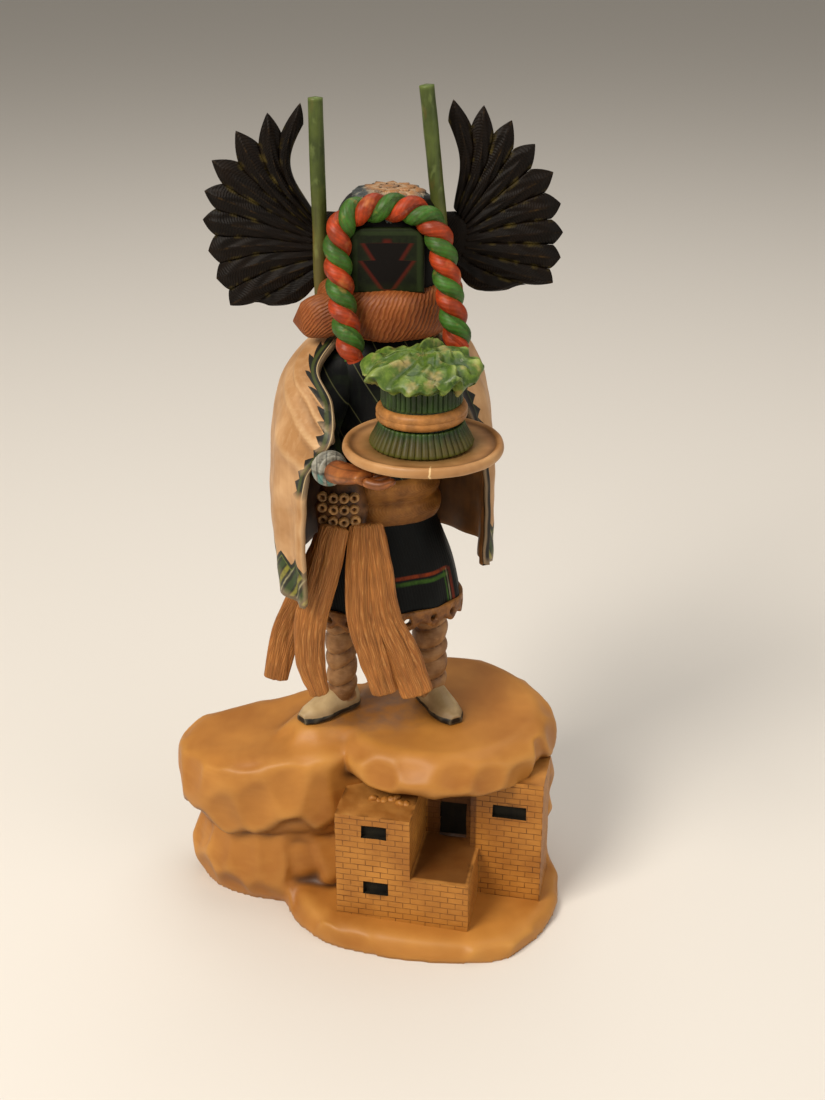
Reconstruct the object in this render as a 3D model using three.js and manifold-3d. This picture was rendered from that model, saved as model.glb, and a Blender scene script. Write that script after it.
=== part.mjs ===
// A carved and painted kachina doll on a carved rock with a small pueblo.
// Millimetres, +Z up, the doll facing -Y. Left and right are the viewer's.

import * as THREE from 'three';
import { mergeVertices } from 'three/addons/utils/BufferGeometryUtils.js';
import Module from 'manifold-3d';

const wasm = await Module();
wasm.setup();

// Driving sizes
const FIGURE_HEIGHT = 150; // soles to the crown of the mask
const BASE_WIDTH = 110; // widest stretch of the rocks
const STAND_HEIGHT = 57; // table to the soles
const GAP = 0.3; // clearance between pieces that touch

const STICK_DIAMETER = 3.8;
const STICK_SOCKET_DEPTH = 8; // how far each stick stands in the ruff

const ROPE_DIAMETER = 7;
const ROPE_LAY = 9.7; // length of one full twist

const TRAY_DIAMETER = 39.4;
const TRAY_THICKNESS = 2.5;
const TRAY_LIP_HEIGHT = 0.9;
const TRAY_LIP_WIDTH = 2.2;

const BUNDLE_FOOT_DIAMETER = 25.8;
const BUNDLE_STEM_DIAMETER = 19.4;
const BUNDLE_SKIRT_HEIGHT = 5.4;
const BUNDLE_CORD_HEIGHT = 5.6;
const BUNDLE_STEM_HEIGHT = 4.8;
const BUNDLE_LEAF_HEIGHT = 7.4;
const BUNDLE_LEAF_DIAMETER = 28;

const WING_THICKNESS = 3.4;

const CAPE_THICKNESS = 1.9;
const EYELET_DIAMETER = 2;
const EYELET_COUNT = 17;
const HEM_WALL = 1.5;
const HEM_DEPTH = 3.4; // hollow behind the row of eyelets
const SOLE_THICKNESS = 1.8;
const RING_DIAMETER = 3.5; // the balls of the sash

const BLOCK_WIDTH = 21.3; // front block of the pueblo
const BLOCK_HEIGHT = 41;
const TERRACE_WIDTH = 16.6;
const TERRACE_HEIGHT = 21.5;
const REAR_BLOCK_WIDTH = 20.7;
const REAR_BLOCK_SETBACK = 18.7; // front block's face to the rear block's
const COURT_DEPTH = 24; // front block's face to the wall with the door
const PUEBLO_DEPTH = 34;
const WINDOW_WIDTH = 7.2;
const WINDOW_HEIGHT = 4.2;
const REAR_WINDOW_WIDTH = 9.7;
const DOOR_WIDTH = 7.8;
const DOOR_HEIGHT = 12.5;
const WINDOW_DEPTH = 1;

// Turns, in degrees
const FIGURE_TURN = 13;
const PUEBLO_TURN = -11.5;

// The free forms are drawn in shares of their own size: 150 to the figure's
// height, 110 to the rocks' width and 57 to their height.
const PART = FIGURE_HEIGHT / 150;
const ROCK_PART = BASE_WIDTH / 110;
const RISE_PART = STAND_HEIGHT / 57;

const FIGURE_PLACE = at(5, 0, 0);
const TURN = THREE.MathUtils.degToRad(FIGURE_TURN);

// Helpers

function at(x, y, z) {
  return new THREE.Vector3(x, y, z);
}

// A point of the figure, in shares of its height.
function fig(x, y, z) {
  return at(x, y, z).multiplyScalar(PART);
}

function figs(points) {
  return points.map(([x, y, z]) => fig(x, y, z));
}

function solidOf(geometry) {
  const bare = geometry.clone();
  bare.deleteAttribute('normal');
  bare.deleteAttribute('uv');
  const merged = mergeVertices(bare, 1e-4);
  const solid = new wasm.Manifold(new wasm.Mesh({
    numProp: 3,
    vertProperties: new Float32Array(merged.attributes.position.array),
    triVerts: new Uint32Array(merged.index.array),
  }));
  return solid;
}

function geometryOf(solid) {
  const mesh = solid.getMesh();
  const geometry = new THREE.BufferGeometry();
  geometry.setAttribute('position', new THREE.BufferAttribute(mesh.vertProperties, 3));
  geometry.setIndex(new THREE.BufferAttribute(mesh.triVerts, 1));
  geometry.computeVertexNormals();
  return geometry;
}

function join(solids) {
  return solids.reduce((whole, solid) => whole.add(solid));
}

function cut(solid, cutters) {
  return cutters.reduce((whole, cutter) => whole.subtract(cutter), solid);
}

// A closed body over a row of rings with equal point counts, each end closed
// by a fan about its middle.
function loft(rings) {
  const count = rings[0].length;
  const points = rings.flat();
  const middle = (ring) => ring.reduce((sum, p) => sum.add(p), at(0, 0, 0)).divideScalar(count);
  points.push(middle(rings[0]), middle(rings[rings.length - 1]));
  const index = [];
  for (let row = 0; row < rings.length - 1; row += 1) {
    for (let i = 0; i < count; i += 1) {
      const a = row * count + i;
      const b = row * count + (i + 1) % count;
      index.push(a, b, b + count, a, b + count, a + count);
    }
  }
  const last = (rings.length - 1) * count;
  for (let i = 0; i < count; i += 1) {
    const next = (i + 1) % count;
    index.push(rings.length * count, next, i);
    index.push(rings.length * count + 1, last + i, last + next);
  }
  return solidFromFaces(points, index);
}

// Turns every face outward, whichever way the faces were listed.
function solidFromFaces(points, index) {
  let volume = 0;
  for (let i = 0; i < index.length; i += 3) {
    const [a, b, c] = [points[index[i]], points[index[i + 1]], points[index[i + 2]]];
    volume += a.dot(b.clone().cross(c));
  }
  const outward = volume > 0 ? index : index.slice().reverse();
  const geometry = new THREE.BufferGeometry();
  const position = points.flatMap((p) => [p.x, p.y, p.z]);
  geometry.setAttribute('position', new THREE.Float32BufferAttribute(position, 3));
  geometry.setIndex(outward);
  return solidOf(geometry);
}

// A level ring: an ellipse, squarer as the power rises, turned about Z.
function levelRing(middle, halfWidth, halfDepth, count, turn = 0, power = 2) {
  return Array.from({ length: count }, (_, i) => {
    const angle = (2 * Math.PI * i) / count;
    const round = (value) => Math.sign(value) * Math.abs(value) ** (2 / power);
    const x = halfWidth * round(Math.cos(angle));
    const y = halfDepth * round(Math.sin(angle));
    return at(x, y, 0).applyAxisAngle(at(0, 0, 1), turn).add(middle);
  });
}

function lerp(from, to, share) {
  return THREE.MathUtils.lerp(from, to, share);
}

// The value of a list of numbers at a share of the way along it.
function along(values, share) {
  const place = share * (values.length - 1);
  const low = Math.min(Math.floor(place), values.length - 2);
  return lerp(values[low], values[low + 1], place - low);
}

// A limb, strand or strip: an oval section carried along a smooth curve. The
// section's width lies across the facing direction and its depth along it.
function sweep(points, widths, depths, steps, count, facing = at(0, -1, 0)) {
  const curve = new THREE.CatmullRomCurve3(points);
  const rings = Array.from({ length: steps + 1 }, (_, i) => {
    const share = i / steps;
    const middle = curve.getPoint(share);
    const ahead = curve.getTangent(share);
    const side = ahead.clone().cross(facing).normalize();
    const lift = side.clone().cross(ahead);
    return Array.from({ length: count }, (_unused, k) => {
      const angle = (2 * Math.PI * (k + 0.5)) / count;
      return middle.clone()
        .addScaledVector(side, (Math.cos(angle) * along(widths, share)) / 2)
        .addScaledVector(lift, (Math.sin(angle) * along(depths, share)) / 2);
    });
  });
  return loft(rings);
}

function box(width, depth, height, middle) {
  return solidOf(new THREE.BoxGeometry(width, depth, height).translate(middle.x, middle.y, middle.z));
}

function ball(radius, middle) {
  return solidOf(new THREE.IcosahedronGeometry(radius, 0).translate(middle.x, middle.y, middle.z));
}

// A round bar between two points.
function bar(from, to, radius, sides) {
  const length = from.distanceTo(to);
  const geometry = new THREE.CylinderGeometry(radius, radius, length, sides);
  const turn = new THREE.Quaternion().setFromUnitVectors(at(0, 1, 0), to.clone().sub(from).normalize());
  geometry.applyQuaternion(turn);
  geometry.translate(...from.clone().lerp(to, 0.5).toArray());
  return solidOf(geometry);
}

// Rocks

// A carved boulder: a closed plan outline stacked at several heights, each
// drawn in by an inset, with shallow facets round it and a sloping top.
function boulder(outline, levels, { facets = 7, roughness = 0.012, slope = 0, phase = 0 } = {}) {
  const points = outline.map(([x, y]) => at(x * ROCK_PART, y * ROCK_PART, 0));
  const curve = new THREE.CatmullRomCurve3(points, true);
  const plan = curve.getPoints(ROCK_SIDES).slice(0, ROCK_SIDES);
  const middle = plan.reduce((sum, p) => sum.add(p), at(0, 0, 0)).divideScalar(plan.length);
  return loft(levels.map(([height, inset], level) => plan.map((p, i) => {
    const arm = p.clone().sub(middle);
    const angle = (2 * Math.PI * i) / plan.length;
    const facet = Math.abs(Math.sin((facets * angle) / 2 + phase + level * 0.35)) - 0.6;
    const reach = 1 - (inset * ROCK_PART) / arm.length() - (level > 0 ? roughness * facet : 0);
    const spot = middle.clone().addScaledVector(arm, reach);
    const tilt = level > levels.length / 2 ? slope * (spot.x - middle.x) : 0;
    return spot.setZ(Math.max(height * RISE_PART + tilt, 0));
  })));
}

const ROCK_SIDES = 20;

function rocks() {
  const upperTier = boulder(
    [[-57, -6], [-56, 5], [-47, 12], [-31, 15], [-10, 17], [6, 8], [2, -14], [-9, -24], [-26, -26], [-43, -23], [-53, -15]],
    [[22, 9], [24.5, 3], [28, 0.8], [37, 0], [44, 0.8], [48.5, 3.5], [50.5, 9]],
    { facets: 9, slope: 0.17, phase: 0.6 },
  );
  const lowerTier = boulder(
    [[-53, -4], [-50, 6], [-36, 12], [-16, 15], [6, 8], [4, -16], [-12, -22], [-28, -23], [-43, -18], [-50, -12]],
    [[0, 1.2], [4, 0], [12, -0.8], [19, 0.6], [23, 3], [26, 7]],
    { facets: 11, phase: 1.4 },
  );
  const slab = boulder(
    [[-9.5, -17], [-5, -26], [6, -33], [19, -36], [33, -33], [46, -24], [53, -11], [52.6, 4], [47, 17], [37, 27],
      [22, 31], [8, 27], [-3, 14], [-9, -2]],
    [[42, 12], [43.8, 4], [46, 0.6], [49, 0.2], [53, 3], [56, 7], [57, 12]],
    { facets: 5, roughness: 0.01, phase: 0.3 },
  );
  const core = boulder(
    [[53, -8], [51, 6], [41, 19], [22, 26], [2, 22], [-12, 12], [-10, -10], [8, -22], [34, -22], [48, -17]],
    [[0, 0], [9, 0.4], [15, 2], [21, 0.2], [28, 1.8], [36, 0], [46, 4]],
    { facets: 8, roughness: 0.02, phase: 2.1 },
  );
  const ledge = boulder(
    [[-26, -22], [-15, -40], [2, -47], [20, -50], [37, -49], [50, -36], [55.5, -20], [54, -4], [30, 6], [0, 4], [-22, 0]],
    [[0, 0], [3.2, 0.4], [5.4, 1.6], [6.4, 5]],
    { facets: 10, roughness: 0.008, slope: -0.03 },
  );
  const step = boulder(
    [
      [-26, -11], [-21, -19], [-10, -20], [8, -19], [14, -10], [12, 2], [0, 5], [-12, 4], [-22, -3],
    ],
    [[46, 0], [51, 0.3], [54.4, 1.8], [56.2, 3.2], [57, 4.4]],
    { facets: 6, roughness: 0.02 },
  );
  return join([upperTier, lowerTier, slab, core, ledge, step]);
}

// Pueblo: blocks in a frame turned to the front wall, u along it and v into
// the rock.
function pueblo() {
  const floor = 1;
  const block = (u, v, width, height) => box(
    width,
    PUEBLO_DEPTH - v,
    height - floor,
    at(u + width / 2, (v + PUEBLO_DEPTH) / 2, (height + floor) / 2),
  );
  const rearLeft = BLOCK_WIDTH + TERRACE_WIDTH - 2.6;
  const rear = block(rearLeft, REAR_BLOCK_SETBACK, REAR_BLOCK_WIDTH, BLOCK_HEIGHT + 4);
  const walls = join([
    block(0, 0, BLOCK_WIDTH, BLOCK_HEIGHT),
    block(0, 0, BLOCK_WIDTH + TERRACE_WIDTH, TERRACE_HEIGHT),
    block(BLOCK_WIDTH - 1, COURT_DEPTH, TERRACE_WIDTH, BLOCK_HEIGHT + 4),
    rear,
  ]);
  const opening = (u, v, z, width, height) => box(width, 2 * WINDOW_DEPTH, height, at(u, v, z));
  const upperWindow = BLOCK_HEIGHT - 5;
  return cut(walls, [
    opening(BLOCK_WIDTH * 0.52, 0, upperWindow, WINDOW_WIDTH, WINDOW_HEIGHT),
    opening(BLOCK_WIDTH * 0.54, 0, TERRACE_HEIGHT - 4.4, WINDOW_WIDTH, WINDOW_HEIGHT),
    opening(rearLeft + REAR_BLOCK_WIDTH * 0.54, REAR_BLOCK_SETBACK, upperWindow - 1, REAR_WINDOW_WIDTH, WINDOW_HEIGHT),
    opening(rearLeft - DOOR_WIDTH / 2 - 1.6, COURT_DEPTH, TERRACE_HEIGHT + DOOR_HEIGHT / 2, DOOR_WIDTH, DOOR_HEIGHT),
  ]);
}

// The court in front of the door is open up to the slab's underside.
function courtSpace() {
  const width = TERRACE_WIDTH - 2.6;
  const height = BLOCK_HEIGHT - TERRACE_HEIGHT;
  return box(width, COURT_DEPTH, height, at(BLOCK_WIDTH + width / 2, COURT_DEPTH / 2, TERRACE_HEIGHT + height / 2));
}

function placePueblo(solid) {
  const turn = new THREE.Matrix4().makeRotationZ(THREE.MathUtils.degToRad(PUEBLO_TURN));
  turn.setPosition(-9.7 * ROCK_PART, -36 * ROCK_PART, 0);
  return solid.transform(turn.toArray());
}

function rockBase() {
  const clearing = box(3 * BASE_WIDTH, 3 * BASE_WIDTH, 40, at(0, 0, STAND_HEIGHT - GAP + 20));
  const carved = rocks().subtract(placePueblo(courtSpace()));
  return join([carved, placePueblo(pueblo())]).subtract(clearing);
}

// Figure: legs and boots

function leg(x, y, radius) {
  const bottom = 4;
  const top = 37;
  const wraps = 6;
  const rings = [];
  for (let i = 0; i <= 2 * wraps; i += 1) {
    const swell = i % 2 === 0 ? 0.9 : 1.06;
    const taper = 1 + 0.08 * (i / (2 * wraps));
    const height = bottom + ((top - bottom) * i) / (2 * wraps);
    const size = radius * swell * taper * PART;
    rings.push(levelRing(fig(x, y, height), size, size, 8));
  }
  return loft(rings);
}

// A boot from heel to toe, flat underneath.
function boot(heel, toe, width) {
  const shares = [0, 0.06, 0.22, 0.42, 0.66, 0.88, 1];
  const widths = [0.45, 0.78, 0.9, 0.86, 1, 0.82, 0.42];
  const heights = [5, 7.6, 8.6, 7.4, 5.4, 4, 2.6];
  const start = fig(...heel, 0);
  const ahead = fig(...toe, 0).sub(start);
  const side = ahead.clone().normalize().cross(at(0, 0, 1));
  return loft(shares.map((share, i) => {
    const middle = start.clone().addScaledVector(ahead, share);
    const half = (width * widths[i] * PART) / 2;
    const height = heights[i] * PART;
    const section = [[-1, 0], [1, 0], [1.08, 0.22], [0.94, 0.55], [0.5, 0.93], [0, 1], [-0.5, 0.93], [-0.94, 0.55],
      [-1.08, 0.22]];
    return section.map(([across, up]) => {
      const spot = middle.clone().addScaledVector(side, across * half);
      return spot.setZ(Math.max(up * height, up > 0 ? SOLE_THICKNESS : 0));
    });
  }));
}

// Figure: dress, belt and sash

// Rows of [height, half width, half depth] from the hem to the neck.
const DRESS_ROWS = [
  [31, 21.2, 14.4], [38, 20.2, 13.8], [46, 18.4, 12.6], [54, 15.6, 11.2], [62, 13, 10.2], [74, 12.6, 10],
  [92, 15.4, 12.4], [103, 17, 13], [109, 14.6, 11.4], [113, 10, 9], [122, 7.5, 7],
];

function dressRing([height, halfWidth, halfDepth], grow = 0, count = 20) {
  return levelRing(fig(0, 0, height), halfWidth * PART + grow, halfDepth * PART + grow, count, TURN, 2.2);
}

function dress() {
  const skirt = loft(DRESS_ROWS.map((row) => dressRing(row)));
  return join([skirt.subtract(hemHollow()), laceHem()]);
}

function hemHollow() {
  const inner = dressRing(DRESS_ROWS[0], -HEM_WALL);
  return loft([-2 * EYELET_DIAMETER, HEM_DEPTH].map((rise) => inner.map((p) => at(p.x, p.y, p.z + rise))));
}

// The scalloped edge under the skirt, pierced by a row of eyelets.
function laceHem() {
  const scallop = EYELET_DIAMETER * 0.75;
  const bottom = dressRing(DRESS_ROWS[0], 0.3 * PART, 2 * EYELET_COUNT);
  const scallops = bottom.map((p, i) => at(p.x, p.y, p.z - (i % 2 === 0 ? scallop : 0)));
  const top = bottom.map((p) => at(p.x, p.y, p.z + HEM_DEPTH));
  const eyelets = bottom.filter((_, i) => i % 2 === 0).map((p) => {
    const middle = fig(0, 0, 0).setZ(p.z);
    return bar(p.clone().lerp(middle, 0.2), p.clone().lerp(middle, -0.2), EYELET_DIAMETER / 2, 4);
  });
  return cut(loft([scallops, top]), [hemHollow(), ...eyelets]);
}

// Rows of [height, swell] of the wide wrapped belt.
function belt() {
  const rows = [[60, -1.5], [60.6, 1.1], [65.6, 1.6], [67, 0.9], [71.6, 1.5], [73.4, -1.5]];
  const base = [62, 13, 10.2];
  return loft(rows.map(([height, swell]) => dressRing([height, base[1], base[2]], swell * PART)));
}

// The knot of the sash carries rows of small balls.
function sashBalls() {
  const columns = 4;
  const rows = 3;
  const corner = fig(-17.2, -16.2, 61.5);
  const across = fig(3.3, -0.4, 0);
  const up = fig(0, 0.25, 4.3);
  const balls = [sweep(figs([[-12.4, -12.6, 58], [-12, -13.4, 67], [-12, -12, 75]]), [12, 14.5, 10], [8, 9, 7], 3, 8)];
  for (let row = 0; row < rows; row += 1) {
    for (let column = 0; column < columns; column += 1) {
      const place = corner.clone().addScaledVector(across, column).addScaledVector(up, row);
      balls.push(ball((RING_DIAMETER / 2) * PART, place));
    }
  }
  return join(balls);
}

function fringes() {
  const strand = (points, widths, depth) => sweep(
    figs(points),
    widths.map((w) => w * PART),
    widths.map(() => depth * PART),
    5,
    6,
  );
  return join([
    strand([[-17, -11, 58], [-23, -12, 42], [-28.5, -12, 28], [-32, -12, 13]], [5, 7, 8.4, 7], 2.6),
    strand([[-13.5, -18.5, 64], [-16.5, -20.5, 52], [-20.6, -22, 37], [-21, -22, 24], [-18.7, -21.5, 13.5]],
      [8, 9, 9, 8.4, 5.5], 3),
    strand([[-6.5, -17.5, 64], [-6.6, -20, 52], [-6.4, -21.6, 38], [-3.6, -22.4, 26], [-0.4, -23, 14.5]],
      [7, 9, 9, 8.4, 7], 3),
    strand([[-4, -17, 64], [-2.4, -20, 52], [-0.6, -21.4, 38], [4.4, -22, 26], [8.6, -22.8, 14]],
      [6, 8, 9, 10, 9], 3),
  ]);
}

// Figure: cape

// Lines from the neck to the hem, going round from the left front edge, over
// the back, to the right front edge.
const CAPE_LINES = [
  [[-13, -9, 112.5], [-17, -16, 107], [-13, -26, 100.6], [-13, -35.6, 94], [-19.4, -35, 84], [-21.4, -32, 66], [-21.4, -30.5, 45]],
  [[-13, -7, 113.5], [-19.4, -14, 107.6], [-19, -24.4, 100.6], [-22.6, -30, 92], [-25.6, -28.6, 82], [-26.8, -26, 66], [-26, -25, 45.5]],
  [[-12, -3, 114.5], [-21, -8, 109.6], [-26, -13, 102.6], [-28.6, -16, 94], [-30.2, -17, 80], [-30.6, -16, 64], [-29.6, -14.5, 46]],
  [[-9, 2, 114.5], [-17.5, 4, 111], [-24.4, 5, 103], [-28, 4, 91], [-29, 3, 77], [-28.6, 3, 62], [-27.6, 3, 47]],
  [[-4, 7, 115], [-9, 11.5, 112], [-12.6, 15, 104], [-15, 17, 91], [-15.6, 17.6, 77], [-15.6, 18, 62], [-15.4, 18, 47.5]],
  [[6, 8, 115], [9, 12.5, 112], [11.6, 16.5, 104], [13.4, 19, 91], [14, 20, 77], [14, 20.4, 62], [14, 20.4, 48]],
  [[12, 3, 114.5], [18.6, 7, 111], [23.4, 9.4, 103], [25.8, 10.6, 91], [26.4, 11, 77], [26.4, 11, 62], [26, 11, 48]],
  [[13, -5, 113.5], [20, -3.4, 110], [24.8, -4, 103], [27.4, -5, 94], [28.4, -5.4, 80], [28.4, -5.4, 64], [28, -5, 48.6]],
  [[14, -8, 113], [20, -10.6, 108], [23.4, -14, 100.6], [26.2, -16, 91], [27.6, -15.8, 80], [28, -15, 66], [27.8, -14.4, 51]],
  [[13.6, -9.6, 112], [17.8, -14.4, 106.6], [20, -18.4, 99.4], [23.6, -20, 91.4], [26, -19.6, 81], [26.8, -18.4, 66], [26.6, -18, 52]],
];

function cape() {
  const around = 22;
  const down = 6;
  const lines = CAPE_LINES.map((line) => new THREE.CatmullRomCurve3(figs(line)));
  const outer = Array.from({ length: down + 1 }, (_, row) => {
    const share = row / down;
    const ring = new THREE.CatmullRomCurve3(lines.map((line) => line.getPoint(share)));
    return Array.from({ length: around + 1 }, (_unused, i) => ring.getPoint(i / around));
  });
  const core = (row) => fig(1, -6, 0).setZ(outer[row][0].z);
  const folded = outer.map((ring, row) => ring.map((p, i) => {
    const depth = 0.9 * PART * (row / down) * Math.sin(i * 2.07 + row * 0.21);
    const away = p.clone().sub(core(row)).setZ(0).normalize();
    return i === 0 || i === around ? p : p.clone().addScaledVector(away, depth);
  }));
  return shell(folded, CAPE_THICKNESS * PART);
}

// A sheet of even thickness from a grid of points on its outer side.
function shell(grid, thickness) {
  const rows = grid.length;
  const columns = grid[0].length;
  const clampTo = (value, top) => Math.max(0, Math.min(value, top));
  const point = (row, column) => grid[clampTo(row, rows - 1)][clampTo(column, columns - 1)];
  const inner = grid.map((ring, row) => ring.map((p, column) => {
    const down = point(row + 1, column).clone().sub(point(row - 1, column));
    const across = point(row, column + 1).clone().sub(point(row, column - 1));
    return p.clone().addScaledVector(down.cross(across).normalize(), thickness);
  }));
  return closeSheet(grid, inner);
}

// The body between two grids of points, closed round their rims.
function closeSheet(outer, inner) {
  const rows = outer.length;
  const columns = outer[0].length;
  const points = [...outer.flat(), ...inner.flat()];
  const offset = rows * columns;
  const index = [];
  const quad = (a, b, c, d) => index.push(a, b, c, a, c, d);
  for (let row = 0; row < rows - 1; row += 1) {
    for (let column = 0; column < columns - 1; column += 1) {
      const a = row * columns + column;
      quad(a, a + columns, a + columns + 1, a + 1);
      quad(offset + a, offset + a + 1, offset + a + columns + 1, offset + a + columns);
    }
  }
  const rim = [];
  for (let column = 0; column < columns - 1; column += 1) rim.push(column);
  for (let row = 0; row < rows - 1; row += 1) rim.push(row * columns + columns - 1);
  for (let column = columns - 1; column > 0; column -= 1) rim.push((rows - 1) * columns + column);
  for (let row = rows - 1; row > 0; row -= 1) rim.push(row * columns);
  rim.forEach((a, i) => {
    const b = rim[(i + 1) % rim.length];
    quad(a, b, offset + b, offset + a);
  });
  return solidFromFaces(points, index);
}

// Figure: arms and hands

function arms() {
  const scaled = (sizes) => sizes.map((size) => size * PART);
  const up = at(0, 0, 1);
  const leftSleeve = sweep(
    figs([[-10, -4, 104], [-16.5, -10, 97], [-18.6, -17, 90], [-16.6, -26, 87.6], [-14.2, -33.5, 87]]),
    scaled([14, 14, 13, 11, 8]), scaled([14, 16, 15, 11, 8.4]), 5, 7, up,
  );
  const rightSleeve = sweep(
    figs([[11, -3, 104], [16.6, -6, 97], [19.4, -10, 90], [19.4, -18, 87.6], [18, -25, 87.6]]),
    scaled([14, 14, 13, 10, 7]), scaled([14, 16, 14, 10, 6.4]), 5, 7, up,
  );
  const leftHand = sweep(
    figs([[-15, -31, 86.6], [-12, -39, 87.6], [-8, -46, 89.6], [-3.5, -51, 91.2]]),
    scaled([6.4, 6.4, 8.4, 7]), scaled([6.4, 6, 4.6, 3]), 4, 6, up,
  );
  const rightHand = sweep(
    figs([[18.6, -23, 87], [18.4, -31, 88], [17, -39, 89.8], [14, -45, 91.4]]),
    scaled([6.4, 6.4, 8.4, 7]), scaled([6, 5.6, 4.4, 3]), 4, 6, up,
  );
  const bracelet = sweep(
    figs([[-15, -33.4, 87], [-14.3, -35.2, 87.3], [-12.9, -38.4, 87.9], [-12.2, -40, 88.2]]),
    scaled([7.4, 9.4, 9.4, 7.4]), scaled([7.2, 9, 9, 7.2]), 3, 8, up,
  );
  return join([leftSleeve, rightSleeve, leftHand, rightHand, bracelet, fingers()]);
}

function fingers() {
  const each = Array.from({ length: 4 }, (_, i) => {
    const root = fig(-9.4 + i * 1.5, -45 - i * 2.2, 89.2 + i * 0.3);
    const tip = fig(-0.6 + i * 1.2, -47.6 - i * 2.4, 91.6);
    const knuckle = root.clone().lerp(tip, 0.5).add(fig(0, 0, -1.1));
    const thick = [2.4, 2.3, 1.7].map((size) => size * PART);
    return sweep([root, knuckle, tip], thick, thick, 2, 4, at(0, 0, 1));
  });
  return join(each);
}

// Figure: ruff, mask and crown

// The fur collar: a fat ring round the neck with a loose end on the left.
function ruff() {
  const steps = 18;
  const sides = 6;
  const rings = Array.from({ length: steps }, (_, i) => {
    const angle = (2 * Math.PI * i) / steps;
    const outward = at(Math.cos(angle), Math.sin(angle), 0);
    const front = Math.max(0, -Math.sin(angle));
    const middle = at(15.4 * Math.cos(angle) + 1, 11.6 * Math.sin(angle) - 1.6, 121.5 - 1.6 * front);
    const halfHeight = 5.6 + 1.4 * front;
    const halfThick = 3.8 + 0.5 * front;
    return Array.from({ length: sides }, (_unused, k) => {
      const turn = (2 * Math.PI * (k + 0.5)) / sides;
      const spot = middle.clone().addScaledVector(outward, halfThick * Math.cos(turn));
      spot.z += halfHeight * Math.sin(turn);
      return spot.multiplyScalar(PART);
    });
  });
  const collar = closedLoft(rings);
  const scaled = (sizes) => sizes.map((size) => size * PART);
  const looseEnd = sweep(
    figs([[-10, -10.6, 120], [-16, -10.8, 119], [-20.6, -10.4, 117.8], [-23.6, -10, 117.4]]),
    scaled([10, 12, 9.6, 3]), scaled([6, 6.6, 5.4, 2]), 4, 7,
  );
  return join([collar, looseEnd]);
}

// The room that the collar takes up, with a clearance round it.
function collarSpace() {
  const radius = 20 * PART + GAP;
  return bar(fig(1, -1.6, 112), fig(1, -1.6, 0).setZ(RUFF_TOP * PART + GAP), radius, 16);
}

// A body over rings that come back to the first one.
function closedLoft(rings) {
  const count = rings[0].length;
  const index = [];
  rings.forEach((_, row) => {
    const next = (row + 1) % rings.length;
    for (let i = 0; i < count; i += 1) {
      const k = (i + 1) % count;
      index.push(row * count + i, next * count + i, next * count + k);
      index.push(row * count + i, next * count + k, row * count + k);
    }
  });
  return solidFromFaces(rings.flat(), index);
}

const MASK_MIDDLE = [1, -0.6];
const MASK_HALF_WIDTH = 13.9;
const MASK_HALF_DEPTH = 13.2;

function mask() {
  const rows = [[114, 0.6], [120, 0.94], [130, 1], [141, 0.98], [145.4, 0.86], [147.8, 0.66], [148.9, 0.36]];
  const caseMask = loft(rows.map(([height, share]) => levelRing(
    fig(...MASK_MIDDLE, height),
    MASK_HALF_WIDTH * share * PART,
    MASK_HALF_DEPTH * share * PART,
    20,
    0,
    2.8,
  )));
  return join([caseMask, facePanel(), crown()]);
}

// The raised panel that carries the painted face.
function facePanel() {
  const [left, right, bottom, top, corner] = [-8.6, 10, 126, 142.4, 4];
  const shape = new THREE.Shape();
  shape.moveTo(left, bottom);
  shape.lineTo(right, bottom);
  shape.lineTo(right, top - corner);
  shape.quadraticCurveTo(right, top, right - corner, top);
  shape.lineTo(left + corner, top);
  shape.quadraticCurveTo(left, top, left, top - corner);
  const geometry = new THREE.ExtrudeGeometry(shape, { depth: 3, bevelEnabled: false, curveSegments: 3 });
  geometry.rotateX(Math.PI / 2);
  geometry.translate(0, MASK_MIDDLE[1] - MASK_HALF_DEPTH + 2.2, 0);
  geometry.scale(PART, PART, PART);
  return solidOf(geometry);
}

// Short feathers lie over the top of the mask like a rosette.
function crown() {
  const blades = 10;
  const rows = [[146, 9.6], [148.6, 10.4], [150, 4]];
  return loft(rows.map(([height, radius]) => {
    const ring = levelRing(fig(...MASK_MIDDLE, height), radius * PART, radius * PART, 2 * blades);
    const middle = fig(...MASK_MIDDLE, height);
    return ring.map((p, i) => p.clone().lerp(middle, i % 2 === 0 ? 0 : 0.14));
  }));
}

// Sticks

const RUFF_TOP = 126.5;

const STICKS = {
  left: { foot: stickFoot(-16.5, -3), top: fig(-16.9, -3, 172.2) },
  right: { foot: stickFoot(16.4, -2.4), top: fig(10.4, -3, 175.2) },
};

function stickFoot(x, y) {
  return fig(x, y, RUFF_TOP).add(at(0, 0, -STICK_SOCKET_DEPTH));
}

// Grown, it is the room that the stick takes with a clearance round it.
function stick({ foot, top }, grow = 0) {
  const below = foot.clone().sub(top).setLength(grow);
  return bar(foot.clone().add(below), top, STICK_DIAMETER / 2 + grow, 10);
}

// Yarn rope

const ROPE_PATH = [
  [-7.6, -22.8, 111], [-8.6, -22, 115], [-9.6, -20.4, 119.3], [-10.6, -18.8, 125], [-11.4, -17, 132.4], [-11.6, -15.6, 138.2],
  [-10.4, -14.6, 143.2], [-6.8, -13.8, 146.4], [0.2, -13.2, 147.2], [6.8, -13.6, 146.7], [10.8, -14.2, 144.5],
  [13.2, -15, 140.8], [14.6, -16.2, 136], [15.8, -17.8, 129], [17, -19.4, 122.4], [18.2, -21, 116.5], [19, -21.8, 113.5],
];

const ROPE_SIDES = 6;

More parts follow.
